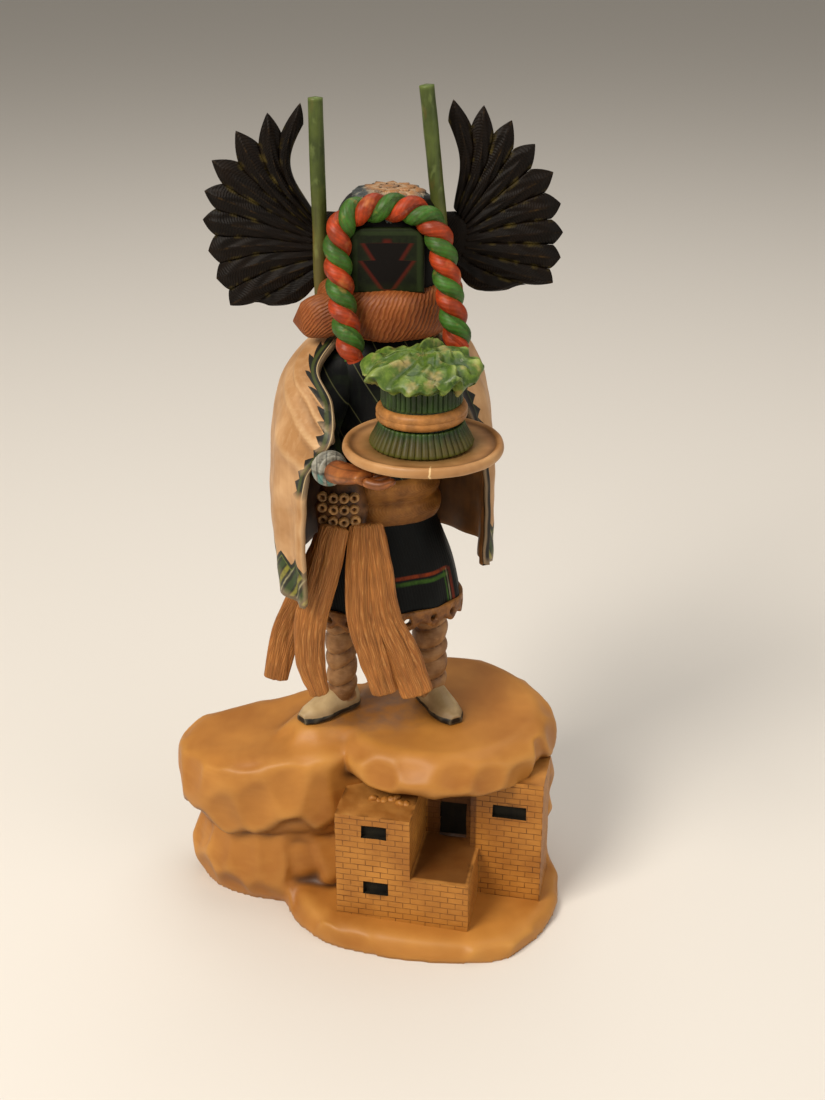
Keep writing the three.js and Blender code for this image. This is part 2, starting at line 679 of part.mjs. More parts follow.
// Two plump strands twisted together: a section with two lobes that turns as
// it goes. Grown and untwisted it is the groove that the rope lies in.
function rope(grow = 0) {
  const curve = new THREE.CatmullRomCurve3(figs(ROPE_PATH));
  const twisted = grow === 0;
  const steps = twisted ? Math.round((5 * curve.getLength()) / ROPE_LAY / PART) : 18;
  const frames = curve.computeFrenetFrames(steps, false);
  const radius = (ROPE_DIAMETER / 2) * PART + grow;
  const rings = Array.from({ length: steps + 1 }, (_, i) => {
    const spin = (2 * Math.PI * curve.getLength() * i) / steps / ROPE_LAY / PART;
    const end = i === 0 || i === steps ? 0.6 : 1;
    return Array.from({ length: ROPE_SIDES }, (_unused, k) => {
      const angle = (2 * Math.PI * k) / ROPE_SIDES;
      const lobe = twisted ? end * (0.76 + 0.24 * Math.cos(angle + spin) ** 2) : 1.04;
      return curve.getPointAt(i / steps)
        .addScaledVector(frames.normals[i], radius * lobe * Math.cos(angle))
        .addScaledVector(frames.binormals[i], radius * lobe * Math.sin(angle));
    });
  });
  return loft(rings);
}

// Wings

// Feathers as [root x, root z, middle x, middle z, tip x, tip z], from the
// inner edge outward and down, in the plane of the wing.
const LEFT_FEATHERS = [
  [-17.6, 140, -25.2, 154, -21, 169.8], [-17.8, 139, -27.4, 152.6, -29.5, 167.4], [-18.2, 138, -30.6, 150.4, -37.7, 162.9],
  [-18.6, 137, -32.6, 146.8, -44.2, 155.5], [-19, 136, -33.4, 142.4, -46.5, 147.7], [-19, 134.6, -33.4, 138, -47.4, 140.4],
  [-18.8, 133, -33, 134, -46.4, 132.2], [-18.4, 131.4, -31.6, 129.6, -44.7, 124.7], [-17.4, 129.6, -29, 125, -41.4, 117.5],
  [-16, 128, -24, 121.6, -31.3, 117.5],
];
const RIGHT_FEATHERS = [
  [18, 143, 20.6, 156, 17.2, 170.6], [18.8, 142, 24, 155.4, 25, 169.2], [19.8, 141, 27.4, 153.6, 32.1, 165.5],
  [20.6, 140, 30, 150.4, 38.2, 159.7], [21, 138.6, 32, 146, 43.1, 152.5], [21.2, 137, 33, 141.6, 45.3, 144.5],
  [21, 135.2, 33, 136.6, 46.2, 137.1], [20.8, 133.4, 32.6, 131.8, 45.9, 130.4], [20, 131.4, 31.4, 127.4, 44.1, 123.6],
  [18.4, 129.4, 25, 124.4, 32.5, 121.9],
];

// A fan of feathers in one piece: each is thick along its quill and thin where
// it meets the next, and the tips stand clear of the notches between them.
function fan(feathers, y) {
  const notch = 0.72; // how far from the middle to the tip the feathers touch
  const edge = ([rootX, rootZ, midX, midZ, tipX, tipZ], reach) => [
    rootX, rootZ, midX, midZ, lerp(midX, tipX, reach), lerp(midZ, tipZ, reach),
  ];
  const between = (one, next) => edge(one.map((value, i) => (value + next[i]) / 2), notch);
  const beyond = (one, next) => edge(one.map((value, i) => value + (value - next[i]) / 2), 0.6);
  const lines = [{ line: beyond(feathers[0], feathers[1]), thick: 0.3 }];
  feathers.forEach((one, i) => {
    lines.push({ line: one, thick: 1 });
    const last = i === feathers.length - 1;
    lines.push({ line: last ? beyond(one, feathers[i - 1]) : between(one, feathers[i + 1]), thick: 0.3 });
  });
  const shares = [0, 0.5, 1];
  const half = (WING_THICKNESS / 2) * PART;
  const grid = (side) => shares.map((share) => lines.map(({ line, thick }) => {
    const [rootX, rootZ, midX, midZ, tipX, tipZ] = line;
    const bend = new THREE.CatmullRomCurve3([fig(rootX, y, rootZ), fig(midX, y, midZ), fig(tipX, y, tipZ)]);
    const place = bend.getPoint(share);
    place.y += side * half * (share < 1 ? lerp(0.9, thick, share ** 0.5) : 0.3);
    return place;
  }));
  return closeSheet(grid(-1), grid(1));
}

function wing(feathers, side) {
  const y = 4;
  const inner = side * (MASK_HALF_WIDTH - 0.6) + MASK_MIDDLE[0];
  const hub = sweep(
    figs([[inner, y, 134], [inner + side * 3.4, y, 134.6], [inner + side * 8, y, 135.4]]),
    [17, 16, 9].map((width) => width * PART),
    [3.2, 3.4, 2.6].map((depth) => depth * PART),
    3,
    8,
  );
  const maskSide = MASK_MIDDLE[0] * PART + side * (MASK_HALF_WIDTH * PART + GAP);
  const trim = box(80 * PART, 80 * PART, 200 * PART, fig(0, 0, 140).setX(maskSide - side * 40 * PART));
  const own = side < 0 ? STICKS.left : STICKS.right;
  return cut(join([fan(feathers, y), hub]), [trim, stick(own, GAP), collarSpace()]);
}

// Tray and bundle

const TRAY_PLACE = fig(9.6, -42, 93.8);

function ringedDisc(profile, sides) {
  const geometry = new THREE.LatheGeometry(profile.map(([r, z]) => new THREE.Vector2(r, z)), sides);
  return solidOf(geometry.rotateX(Math.PI / 2));
}

function tray() {
  const radius = TRAY_DIAMETER / 2;
  const lip = TRAY_THICKNESS + TRAY_LIP_HEIGHT;
  return ringedDisc([
    [0, 0], [radius * 0.8, 0], [radius - 0.4, 0.7], [radius, 1.6], [radius - 0.3, lip - 0.3], [radius - 0.9, lip],
    [radius - TRAY_LIP_WIDTH, TRAY_THICKNESS], [0, TRAY_THICKNESS],
  ], 24);
}

function traySpace() {
  const radius = TRAY_DIAMETER / 2 + GAP;
  const height = TRAY_THICKNESS + TRAY_LIP_HEIGHT + 2 * GAP;
  return bar(TRAY_PLACE.clone().add(at(0, 0, -GAP)), TRAY_PLACE.clone().add(at(0, 0, height)), radius * 1.01, 24);
}

// A bound bundle of shoots: flared foot, two turns of cord, stem and leaves.
function bundle() {
  const foot = BUNDLE_FOOT_DIAMETER / 2;
  const stem = BUNDLE_STEM_DIAMETER / 2;
  const cordBottom = BUNDLE_SKIRT_HEIGHT;
  const cordTop = cordBottom + BUNDLE_CORD_HEIGHT;
  const stemTop = cordTop + BUNDLE_STEM_HEIGHT;
  const cord = stem + 1;
  const rows = [
    [0, foot], [1.6, foot - 0.5], [cordBottom - 0.6, stem + 0.6], [cordBottom, cord],
    [(cordBottom + cordTop) / 2, cord + 0.3], [cordTop, cord], [cordTop + 0.3, stem],
    [stemTop, stem + 0.3],
  ];
  const sides = 20;
  const rings = rows.map(([height, radius]) => levelRing(at(0, 0, height), radius, radius, sides));
  const leaf = BUNDLE_LEAF_DIAMETER / 2;
  const leafRows = [[0.6, 0.86], [1.6, 1], [3.4, 0.96], [5.4, 0.62], [6.4, 0.24]];
  const leaves = leafRows.map(([height, share]) => {
    const rise = (height / 7) * BUNDLE_LEAF_HEIGHT;
    return levelRing(at(0, 0, stemTop), leaf * share, leaf * share, sides).map((p, i) => {
      const fold = Math.sin(i * 2.35) * 0.6 + Math.sin(i * 1.1 + 1) * 0.4;
      const reach = 1 + 0.07 * fold * share;
      return at(p.x * reach, p.y * reach, p.z + rise + 1.1 * fold * share);
    });
  });
  return loft([...rings, ...leaves]);
}

// Assembly

function figure() {
  const body = join([
    leg(-13.4, -4.6, 4.1),
    leg(12, -1.4, 4.6),
    boot([-9.6, -1.2], [-24.8, -13.8], 8.4),
    boot([10.2, 2.8], [19.4, -14.6], 8.4),
    dress(),
    belt(),
    sashBalls(),
    fringes(),
    cape(),
    arms(),
    ruff(),
    mask(),
  ]);
  return cut(body, [rope(GAP), stick(STICKS.left, GAP), stick(STICKS.right, GAP), traySpace()]);
}

function finish(color, roughness) {
  return new THREE.MeshStandardMaterial({ color, roughness, metalness: 0 });
}

function named(name, solid, material) {
  const mesh = new THREE.Mesh(geometryOf(solid), material);
  mesh.name = name;
  return mesh;
}

const painted = new THREE.Group();
painted.position.copy(FIGURE_PLACE.clone().multiplyScalar(ROCK_PART)).setZ(STAND_HEIGHT);
painted.add(
  named('figure', figure(), finish('#c9a070', 0.6)),
  named('wing_left', wing(LEFT_FEATHERS, -1), finish('#1d1610', 0.55)),
  named('wing_right', wing(RIGHT_FEATHERS, 1), finish('#1d1610', 0.55)),
  named('stick_left', stick(STICKS.left), finish('#77833f', 0.6)),
  named('stick_right', stick(STICKS.right), finish('#77833f', 0.6)),
  named('yarn_rope', rope(), finish('#b5401c', 0.5)),
);

const trayMesh = named('tray', tray(), finish('#cfa06c', 0.6));
trayMesh.position.copy(TRAY_PLACE);
painted.add(trayMesh);

const bundleMesh = named('sprout_bundle', bundle(), finish('#6d8f36', 0.5));
bundleMesh.position.copy(TRAY_PLACE).add(at(-0.4, 0, TRAY_THICKNESS + GAP));
painted.add(bundleMesh);

const doll = new THREE.Group();
doll.add(named('rock_base', rockBase(), finish('#c48a48', 0.55)), painted);

// The origin is the middle of the underside of the whole doll's box.
doll.updateMatrixWorld(true);
const bounds = new THREE.Box3().setFromObject(doll);
const middle = bounds.getCenter(new THREE.Vector3());
doll.position.set(-middle.x, -middle.y, -bounds.min.z);

export default doll;
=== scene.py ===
"""A carved and painted kachina doll on a carved rock with a small pueblo.

Shapes are worked out in millimetres, the doll's own middle at the origin and
its soles at zero, and turned to metres in the frame when a mesh is made.
"""

import logging
import math
from dataclasses import dataclass, field
from enum import Enum
from typing import Callable, Optional, Sequence

import bmesh
import bpy
import numpy as np
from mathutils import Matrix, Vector, kdtree


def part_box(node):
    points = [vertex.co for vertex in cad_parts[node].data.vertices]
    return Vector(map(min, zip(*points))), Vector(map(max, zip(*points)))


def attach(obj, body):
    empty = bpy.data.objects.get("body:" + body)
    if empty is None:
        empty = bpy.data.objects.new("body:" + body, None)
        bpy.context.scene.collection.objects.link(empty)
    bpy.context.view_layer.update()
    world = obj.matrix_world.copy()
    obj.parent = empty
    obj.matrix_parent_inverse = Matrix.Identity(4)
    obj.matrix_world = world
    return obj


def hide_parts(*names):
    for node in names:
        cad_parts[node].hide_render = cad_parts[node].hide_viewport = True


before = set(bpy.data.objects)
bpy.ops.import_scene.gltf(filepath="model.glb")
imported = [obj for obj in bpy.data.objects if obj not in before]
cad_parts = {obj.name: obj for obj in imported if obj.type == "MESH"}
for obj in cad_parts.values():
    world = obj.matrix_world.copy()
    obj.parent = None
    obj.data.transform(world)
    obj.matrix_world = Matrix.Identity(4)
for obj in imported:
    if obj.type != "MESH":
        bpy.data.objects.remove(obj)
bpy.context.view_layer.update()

LOG = logging.getLogger("kachina")

MM = 0.001  # a millimetre in metres
STAND_HEIGHT = 57.0  # the doll's soles over the floor
FIGURE_SHIFT = 5.0  # the doll stands this far right of the rock's middle
TRAY_MIDDLE = (9.6, -42.0, 93.8)  # the middle of the tray's underside, from the doll's own middle
GAP = 0.3  # between the rock's top and the doll, and between the tray and the bundle
MERGE = 4e-6  # doubled points closer than this, in metres, become one
TURN = math.radians(13)  # the dress and the belt look this far to the side
UP = (0.0, 0.0, 1.0)
FORWARD = (0.0, -1.0, 0.0)

Array = np.ndarray
Row = Sequence[float]
Points = Sequence[Row]
Piece = bpy.types.Object
Mesh = bpy.types.Mesh
Tree = bpy.types.NodeTree
Socket = bpy.types.NodeSocket
Pair = tuple[float, float]
Triple = tuple[float, float, float]


def doll_origin() -> Array:
    """Finds the doll's own middle in the frame, in metres, from the tray.

    Returns:
        The middle in metres.
    """
    low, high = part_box("tray")
    return np.array([
        (low[0] + high[0]) / 2 - TRAY_MIDDLE[0] * MM,
        (low[1] + high[1]) / 2 - TRAY_MIDDLE[1] * MM,
        STAND_HEIGHT * MM,
    ])


DOLL = doll_origin()
ROCK = DOLL - np.array([FIGURE_SHIFT, 0, STAND_HEIGHT]) * MM


# Curves and surfaces

def smooth_line(points: Points, shares: Array | int, closed: bool = False) -> Array:
    """Runs a centripetal Catmull-Rom curve through points.

    Args:
        points: The points, each with any number of coordinates.
        shares: Places along the curve, 0 to 1, or how many even ones.
        closed: True when the curve comes back to its first point.

    Returns:
        One row of coordinates for each share.
    """
    p = np.asarray(points, float)
    count = len(p)
    spans = count if closed else count - 1
    shares = np.linspace(0, 1, shares) if isinstance(shares, int) else shares
    place = np.clip(shares, 0, 1) * spans
    low = np.minimum(place.astype(int), spans - 1)
    w = (place - low)[:, None]
    if closed:
        a, b, c, d = (p[(low + k) % count] for k in (-1, 0, 1, 2))
    else:
        long = np.vstack([2 * p[0] - p[1], p, 2 * p[-1] - p[-2]])
        a, b, c, d = (long[low + k] for k in range(4))
    before, here, after = (np.maximum(((one - two) ** 2).sum(1) ** 0.25, 1e-4)[:, None]
                           for one, two in ((a, b), (b, c), (c, d)))
    start = ((b - a) / before - (c - a) / (before + here) + (c - b) / here) * here
    end = ((c - b) / here - (d - b) / (here + after) + (d - c) / after) * here
    return b + start * w + (3 * (c - b) - 2 * start - end) * w**2 + (2 * (b - c) + start + end) * w**3


def values_along(values: Row, shares: Array) -> Array:
    """Reads a list of numbers smoothly at shares of its length."""
    return np.interp(shares, np.linspace(0, 1, len(values)), values)


def unit(vectors: Array) -> Array:
    """Brings vectors to length one."""
    return vectors / np.maximum(np.linalg.norm(vectors, axis=-1, keepdims=True), 1e-9)


def ripple(points: Array, size: float, seed: int) -> Array:
    """Gives a soft random wave, about -1 to 1, with bumps of one size.

    Args:
        points: Places in millimetres, last axis x, y, z.
        size: Distance between bumps in millimetres.
        seed: Fixed start of the random directions.

    Returns:
        One value for each point.
    """
    random = np.random.default_rng(seed)
    total = np.zeros(points.shape[:-1])
    for _ in range(9):
        way = unit(random.normal(size=3)) * random.uniform(0.7, 1.5) * 2 * math.pi / (2 * size)
        total += np.sin(points @ way + random.uniform(0, 2 * math.pi))
    return total / 4.5


def squared(wave: Array, power: float) -> Array:
    """Bends a wave towards a square one and keeps its sign."""
    return np.sign(wave) * np.abs(wave) ** power


def circle(sides: int) -> Array:
    """Gives even angles once round, the last one at the first again."""
    return np.linspace(0, 2 * math.pi, sides + 1)


def level_ring(middle: Row, wide: float, deep: float, sides: int, turn: float = 0, power: float = 2) -> Array:
    """Draws a level oval round a middle, squarer as the power rises.

    Args:
        middle: Its middle.
        wide: Half its width.
        deep: Half its depth.
        sides: Steps round it.
        turn: Turn in radians.
        power: 2 for an oval, more for a squarer shape.

    Returns:
        Its points, the first one twice.
    """
    angle = circle(sides)
    x, y = wide * squared(np.cos(angle), 2 / power), deep * squared(np.sin(angle), 2 / power)
    cos, sin = math.cos(turn), math.sin(turn)
    ring = np.stack([x * cos - y * sin, x * sin + y * cos, np.zeros_like(x)], 1)
    return ring + np.asarray(middle, float)


def round_axis(radius: float | Array, angle: Array, height: float | Array) -> Array:
    """Places points at radii, angles and heights round the upright axis."""
    return np.stack([radius * np.cos(angle), radius * np.sin(angle), height + 0 * angle], -1)


def resampled(table: Array, places: Array, at: Array) -> Array:
    """Reads the rows of a table at places between its own."""
    return np.stack([np.interp(places, at, column) for column in table.T], 1)


def run_along(points: Array) -> Array:
    """Measures the way along a line of points, from 0 at the first."""
    return np.concatenate([[0], np.cumsum(np.linalg.norm(np.diff(points, axis=0), axis=1))])


def turned(profile: Points, sides: int) -> Array:
    """Turns a profile of radius and height about the upright axis."""
    return np.array([level_ring((0, 0, height), radius, radius, sides) for radius, height in profile])


def swollen(grid: Array, amount: Array) -> Array:
    """Moves the points of a closed grid off its middle line by an amount."""
    return grid + unit(grid - grid[:, :-1].mean(1, keepdims=True)) * amount[..., None]


def sweep(points: Points, widths: Row, depths: Row, rows: int, sides: int,
          facing: Row = FORWARD, ends: float = 1.2) -> Array:
    """Carries an oval section along a smooth curve and rounds its two ends.

    Args:
        points: The curve's points in millimetres.
        widths: The section's width at even shares of the curve.
        depths: The section's depth, along the facing direction.
        rows: Steps along the curve.
        sides: Steps round the section.
        facing: The direction that the section's depth lies in.
        ends: Length over which each end is rounded, in millimetres.

    Returns:
        A grid of points, rows by sides, with the seam's points twice.
    """
    even = np.linspace(0, 1, rows + 1)
    shares = 0.35 * even + 0.65 * (0.5 - 0.5 * np.cos(math.pi * even))
    middle = smooth_line(points, shares)
    ahead = unit(np.gradient(middle, axis=0))
    side = unit(np.cross(ahead, facing))
    lift = np.cross(side, ahead)
    run = run_along(middle)
    near = np.minimum(run, run[-1] - run)
    swell = np.sqrt(np.clip(1 - (1 - np.clip(near / ends, 0, 1)) ** 2, 0.02, 1))[:, None, None]
    angle = circle(sides)[None, :, None]
    wide = values_along(widths, shares)[:, None, None] / 2
    deep = values_along(depths, shares)[:, None, None] / 2
    return middle[:, None] + swell * (side[:, None] * np.cos(angle) * wide + lift[:, None] * np.sin(angle) * deep)


def arc_uv(grid: Array) -> Array:
    """Measures a grid: millimetres round each row and down its columns.

    Args:
        grid: Rows of points.

    Returns:
        A u and v for each point.
    """
    round_step = np.linalg.norm(np.diff(grid, axis=1), axis=2)
    u = np.concatenate([np.zeros((len(grid), 1)), np.cumsum(round_step, 1)], 1)
    down_step = np.linalg.norm(np.diff(grid, axis=0), axis=2).mean(1)
    v = np.concatenate([[0], np.cumsum(down_step)])
    return np.stack([u, np.repeat(v[:, None], grid.shape[1], 1)], 2)


class Form:
    """Sheets of points that together become one mesh."""

    def __init__(self) -> None:
        """Starts with nothing in it."""
        self.points: list[Array] = []
        self.uvs: list[Array] = []
        self.faces: list[Array] = []
        self.slots: list[Array] = []
        self.count = 0

    def grid(self, points: Array, slot: int | Array, uv: Optional[Array] = None) -> None:
        """Adds a grid of four-sided faces.

        Args:
            points: Rows by columns by x, y, z in millimetres.
            slot: Finish number, one for all or one for each face.
            uv: The map in millimetres, measured off the grid by default.
        """
        rows, columns = points.shape[:2]
        uv = arc_uv(points) if uv is None else uv
        corner = (np.arange(rows - 1)[:, None] * columns + np.arange(columns - 1)[None]).ravel()
        quads = np.stack([corner, corner + 1, corner + columns + 1, corner + columns], 1)
        self.points.append(points.reshape(-1, 3))
        self.uvs.append(uv.reshape(-1, 2))
        self.faces.append(quads + self.count)
        self.slots.append(np.broadcast_to(slot, (rows - 1, columns - 1)).ravel())
        self.count += rows * columns

    def tube(self, points: Array, slot: int | Array, uv: Optional[Array] = None) -> None:
        """Adds a grid that comes back on itself and closes its two ends.

        Args:
            points: Rows of points, each row closed.
            slot: Finish number, one for all or one for each face.
            uv: The map in millimetres, measured off the grid by default.
        """
        uv = arc_uv(points) if uv is None else uv
        slots = np.broadcast_to(slot, (len(points) - 1, points.shape[1] - 1))
        self.grid(points, slots, uv)
        for row in (0, -1):
            middle = np.broadcast_to(points[row].mean(0), points[row].shape)
            end = np.stack([middle, 0.5 * (middle + points[row]), points[row]])
            self.grid(end, slots[row, 0], np.repeat(uv[row][None], 3, 0))

    def sheet(self, outer: Array, inner: Array, slot: int, inside: int, rim: int, uv: Array) -> None:
        """Adds a sheet with two sides and closes it round its rim.

        Args:
            outer: Grid of its outer side.
            inner: Grid of its inner side.
            slot: Finish of the outer side.
            inside: Finish of the inner side.
            rim: Finish of the rim.
            uv: The map of both sides in millimetres.
        """
        self.grid(outer, slot, uv)
        self.grid(inner, inside, uv)
        for edge in (np.s_[0, :], np.s_[-1, :], np.s_[:, 0], np.s_[:, -1]):
            self.grid(np.stack([outer[edge], inner[edge]]), rim, np.stack([uv[edge], uv[edge]]))

    def build(self, name: str, finishes: Sequence["Finish"], origin: Array) -> Piece:
        """Makes the object, its faces outward and its seams closed.

        Args:
            name: The object's name.
            finishes: The finish of each slot, in order.
            origin: Where the form's zero stands in the frame, in metres.

        Returns:
            The finished piece.
        """
        points = np.vstack(self.points) * MM + origin
        faces = np.vstack(self.faces)
        mesh = bpy.data.meshes.new(name)
        mesh.from_pydata(points.tolist(), [], faces.tolist())
        mesh.uv_layers.new(name="Millimetres").data.foreach_set("uv", np.vstack(self.uvs)[faces.ravel()].ravel())
        mesh.polygons.foreach_set("material_index", np.concatenate(self.slots).astype(np.int32))
        for finish in finishes:
            mesh.materials.append(finish.material())
        close_mesh(mesh)
        return placed(name, mesh)


def carved(name: str, grids: Sequence[Array], finish: "Finish", origin: Array) -> Piece:
    """Makes a piece of one finish from closed grids.

    Args:
        name: The object's name.
        grids: Rows of points, each row closed.
        finish: The finish.
        origin: Where zero stands in the frame, in metres.

    Returns:
        The finished piece.
    """
    form = Form()
    for grid in grids:
        form.tube(grid, 0)
    return form.build(name, [finish], origin)


def placed(name: str, data: bpy.types.ID) -> Piece:
    """Puts a mesh, a lamp or a camera in the scene under a name.

    Args:
        name: The object's name.
        data: What the object shows.

    Returns:
        The new object.
    """
    made = bpy.data.objects.new(name, data)
    bpy.context.scene.collection.objects.link(made)
    return made


def close_mesh(mesh: Mesh) -> None:
    """Merges doubled points, drops empty faces and turns all faces outward.

    Args:
        mesh: The mesh.
    """
    work = bmesh.new()
    work.from_mesh(mesh)
    bmesh.ops.remove_doubles(work, verts=work.verts, dist=MERGE)
    bmesh.ops.dissolve_degenerate(work, edges=work.edges, dist=1e-6)
    bmesh.ops.recalc_face_normals(work, faces=work.faces)
    work.to_mesh(mesh)
    work.free()
    mesh.shade_smooth()


def read_rows(items: Sequence, name: str) -> Array:
    """Reads a property of three numbers from each of a mesh's items.

    Args:
        items: The mesh's points or normals.
        name: Blender's name of the property.

    Returns:
        One row for each item.
    """
    values = np.empty(len(items) * 3)
    items.foreach_get(name, values)
    return values.reshape(-1, 3)


def mesh_points(mesh: Mesh) -> Array:
    """Reads a mesh's points as rows of x, y, z."""
    return read_rows(mesh.vertices, "co")


def mesh_normals(mesh: Mesh) -> Array:
    """Reads the outward direction at each of a mesh's points."""
    return read_rows(mesh.vertex_normals, "vector")


def move_points(mesh: Mesh, points: Array) -> None:
    """Puts a mesh's points at new places."""
    mesh.vertices.foreach_set("co", points.ravel())
    mesh.update()


def store(mesh: Mesh, name: str, values: Array) -> None:
    """Stores a number for each point under a name."""
    mesh.attributes.new(name, "FLOAT", "POINT").data.foreach_set("value", values.astype(np.float32))


def coated(piece: Piece, finish: "Finish") -> None:
    """Gives a whole piece one finish and smooth shading.

    Args:
        piece: The piece.
        finish: The finish.
    """
    piece.data.materials.clear()
    piece.data.materials.append(finish.material())
    piece.data.shade_smooth()


def relaxed(mesh: Mesh, points: Array, steps: int) -> Array:
    """Evens points out towards their neighbours' mean.

    Args:
        mesh: The mesh.
        points: The points, or any three numbers for each.
        steps: How many times.

    Returns:
        The points moved.
    """
    edges = np.empty(len(mesh.edges) * 2, np.int32)
    mesh.edges.foreach_get("vertices", edges)
    one, two = edges.reshape(-1, 2).T
    share = np.bincount(edges, minlength=len(points))[:, None]
    for _ in range(steps):
        total = np.stack([
            np.bincount(one, points[two, k], len(points)) + np.bincount(two, points[one, k], len(points))
            for k in range(3)
        ], 1)
        points = 0.5 * points + 0.5 * total / np.maximum(share, 1)
    return points


def mark_relief(piece: Piece, steps: int = 5, soften: int = 0) -> Piece:
    """Stores how far each point stands out, for worn edges and for the shade painted into hollows.

    The attribute "relief" is about 1 on the piece's sharpest edges and about
    -1 in its deepest hollows.

    Args:
        piece: The piece.
        steps: How far round a point it looks.
        soften: How often the result is evened out.

    Returns:
        The same object.
    """
    mesh = piece.data
    points = mesh_points(mesh)
    away = relaxed(mesh, (points - relaxed(mesh, points, steps)) * mesh_normals(mesh), soften).sum(1)
    away = np.clip(away / max(np.percentile(np.abs(away), 96), 1e-5), -1.4, 1.4)
    store(mesh, "relief", away)
    return piece


def joined(name: str, pieces: Sequence[Piece]) -> Piece:
    """Joins objects into the first one and names the result.

    Args:
        name: The object's name.
        pieces: The objects, the first of which stays.

    Returns:
        The joined object.
    """
    with bpy.context.temp_override(active_object=pieces[0], object=pieces[0], selected_objects=list(pieces),
                                   selected_editable_objects=list(pieces)):
        bpy.ops.object.join()
    pieces[0].name = name
    pieces[0].data.name = name
    return pieces[0]


def settled(piece: Piece) -> Piece:
    """Turns an object with modifiers into the plain mesh that they give.

    Args:
        piece: The piece.

    Returns:
        The same object.
    """
    graph = bpy.context.evaluated_depsgraph_get()
    mesh = bpy.data.meshes.new_from_object(piece.evaluated_get(graph), preserve_all_data_layers=True, depsgraph=graph)
    piece.modifiers.clear()
    old, piece.data = piece.data, mesh
    bpy.data.meshes.remove(old)
    return piece


class Cut(Enum):
    """How one solid is worked with another."""

    AWAY = "DIFFERENCE"
    TOGETHER = "UNION"


def worked(piece: Piece, tools: Sequence[Piece], cut: Cut) -> Piece:
    """Cuts or joins solids with a piece and removes them.

    Args:
        piece: The piece.
        tools: The solids it's worked with.
        cut: How it's worked.

    Returns:
        The same object.
    """
    for tool in tools:
        change = piece.modifiers.new("cut", "BOOLEAN")
        change.object = tool
        change.operation = cut.value
        change.solver = "EXACT"
    settled(piece)
    for tool in tools:
        bpy.data.objects.remove(tool)
    return piece


# Nodes

def add_node(tree: Tree, kind: str, inputs: Optional[dict] = None, out: int | str = 0,
             **settings: object) -> "Socket | bpy.types.Node":
    """Adds a node with its settings and links.

    Args:
        tree: The tree that it goes in.
        kind: Blender's name of the node.
        inputs: A value or an output socket for each input's name or number.
        out: The output that is handed back.
        settings: Properties of the node.

    Returns:
        The chosen output socket, or the node where it has no outputs.
    """
    made = tree.nodes.new(kind)
    for key, value in settings.items():
        setattr(made, key, value)
    for key, value in (inputs or {}).items():
        value = getattr(value, "socket", value)
        if isinstance(value, Socket):
            tree.links.new(value, made.inputs[key])
        else:
            made.inputs[key].default_value = value
    return made.outputs[out] if len(made.outputs) else made


def linear(code: str) -> tuple[float, ...]:
    """Turns an sRGB hex colour into linear red, green, blue and alpha."""
    parts = [int(code[i:i + 2], 16) / 255 for i in (1, 3, 5)]
    return (*(p / 12.92 if p <= 0.04045 else ((p + 0.055) / 1.055) ** 2.4 for p in parts), 1.0)


class Field:
    """A number that varies over a surface; its arithmetic is done by nodes."""

    def __init__(self, tree: Tree, socket: Socket) -> None:
        """Keeps the tree and the socket that gives the number."""
        self.tree = tree
        self.socket = socket

    def op(self, operation: str, *others: "Field | float", clamp: bool = False) -> "Field":
        """Applies one of Blender's math operations."""
        inputs = {i: value for i, value in enumerate((self, *others))}
        return Field(self.tree, add_node(self.tree, "ShaderNodeMath", inputs, operation=operation, use_clamp=clamp))

    def __add__(self, other: "Field | float") -> "Field":
        """Adds."""
        return self.op("ADD", other)

    def __sub__(self, other: "Field | float") -> "Field":
        """Subtracts."""
        return self.op("SUBTRACT", other)

    def __mul__(self, other: "Field | float") -> "Field":
        """Multiplies."""
        return self.op("MULTIPLY", other)

    def held(self) -> "Field":
        """Holds it between 0 and 1."""
        return self.op("MULTIPLY", 1.0, clamp=True)

    def rest(self) -> "Field":
        """Is what is left to 1."""
        return self * -1 + 1

    def below(self, limit: "Field | float", soft: float = 0.12) -> "Field":
        """Is 1 under a limit and 0 over it, with a soft edge in millimetres."""
        return ((self - limit) * (-1 / soft) + 0.5).held()

    def between(self, low: "Field | float", high: "Field | float", soft: float = 0.12) -> "Field":
        """Is 1 between two limits and 0 outside them."""
        return self.below(high, soft) * self.below(low, soft).rest()

    def zigzag(self, period: float) -> "Field":
        """Runs to and fro between 0 and 1."""
        return self.op("PINGPONG", period / 2) * (2 / period)

    def repeat(self, period: float) -> "Field":
        """Starts again from 0 after each period."""
        return self.op("FLOORED_MODULO", period)


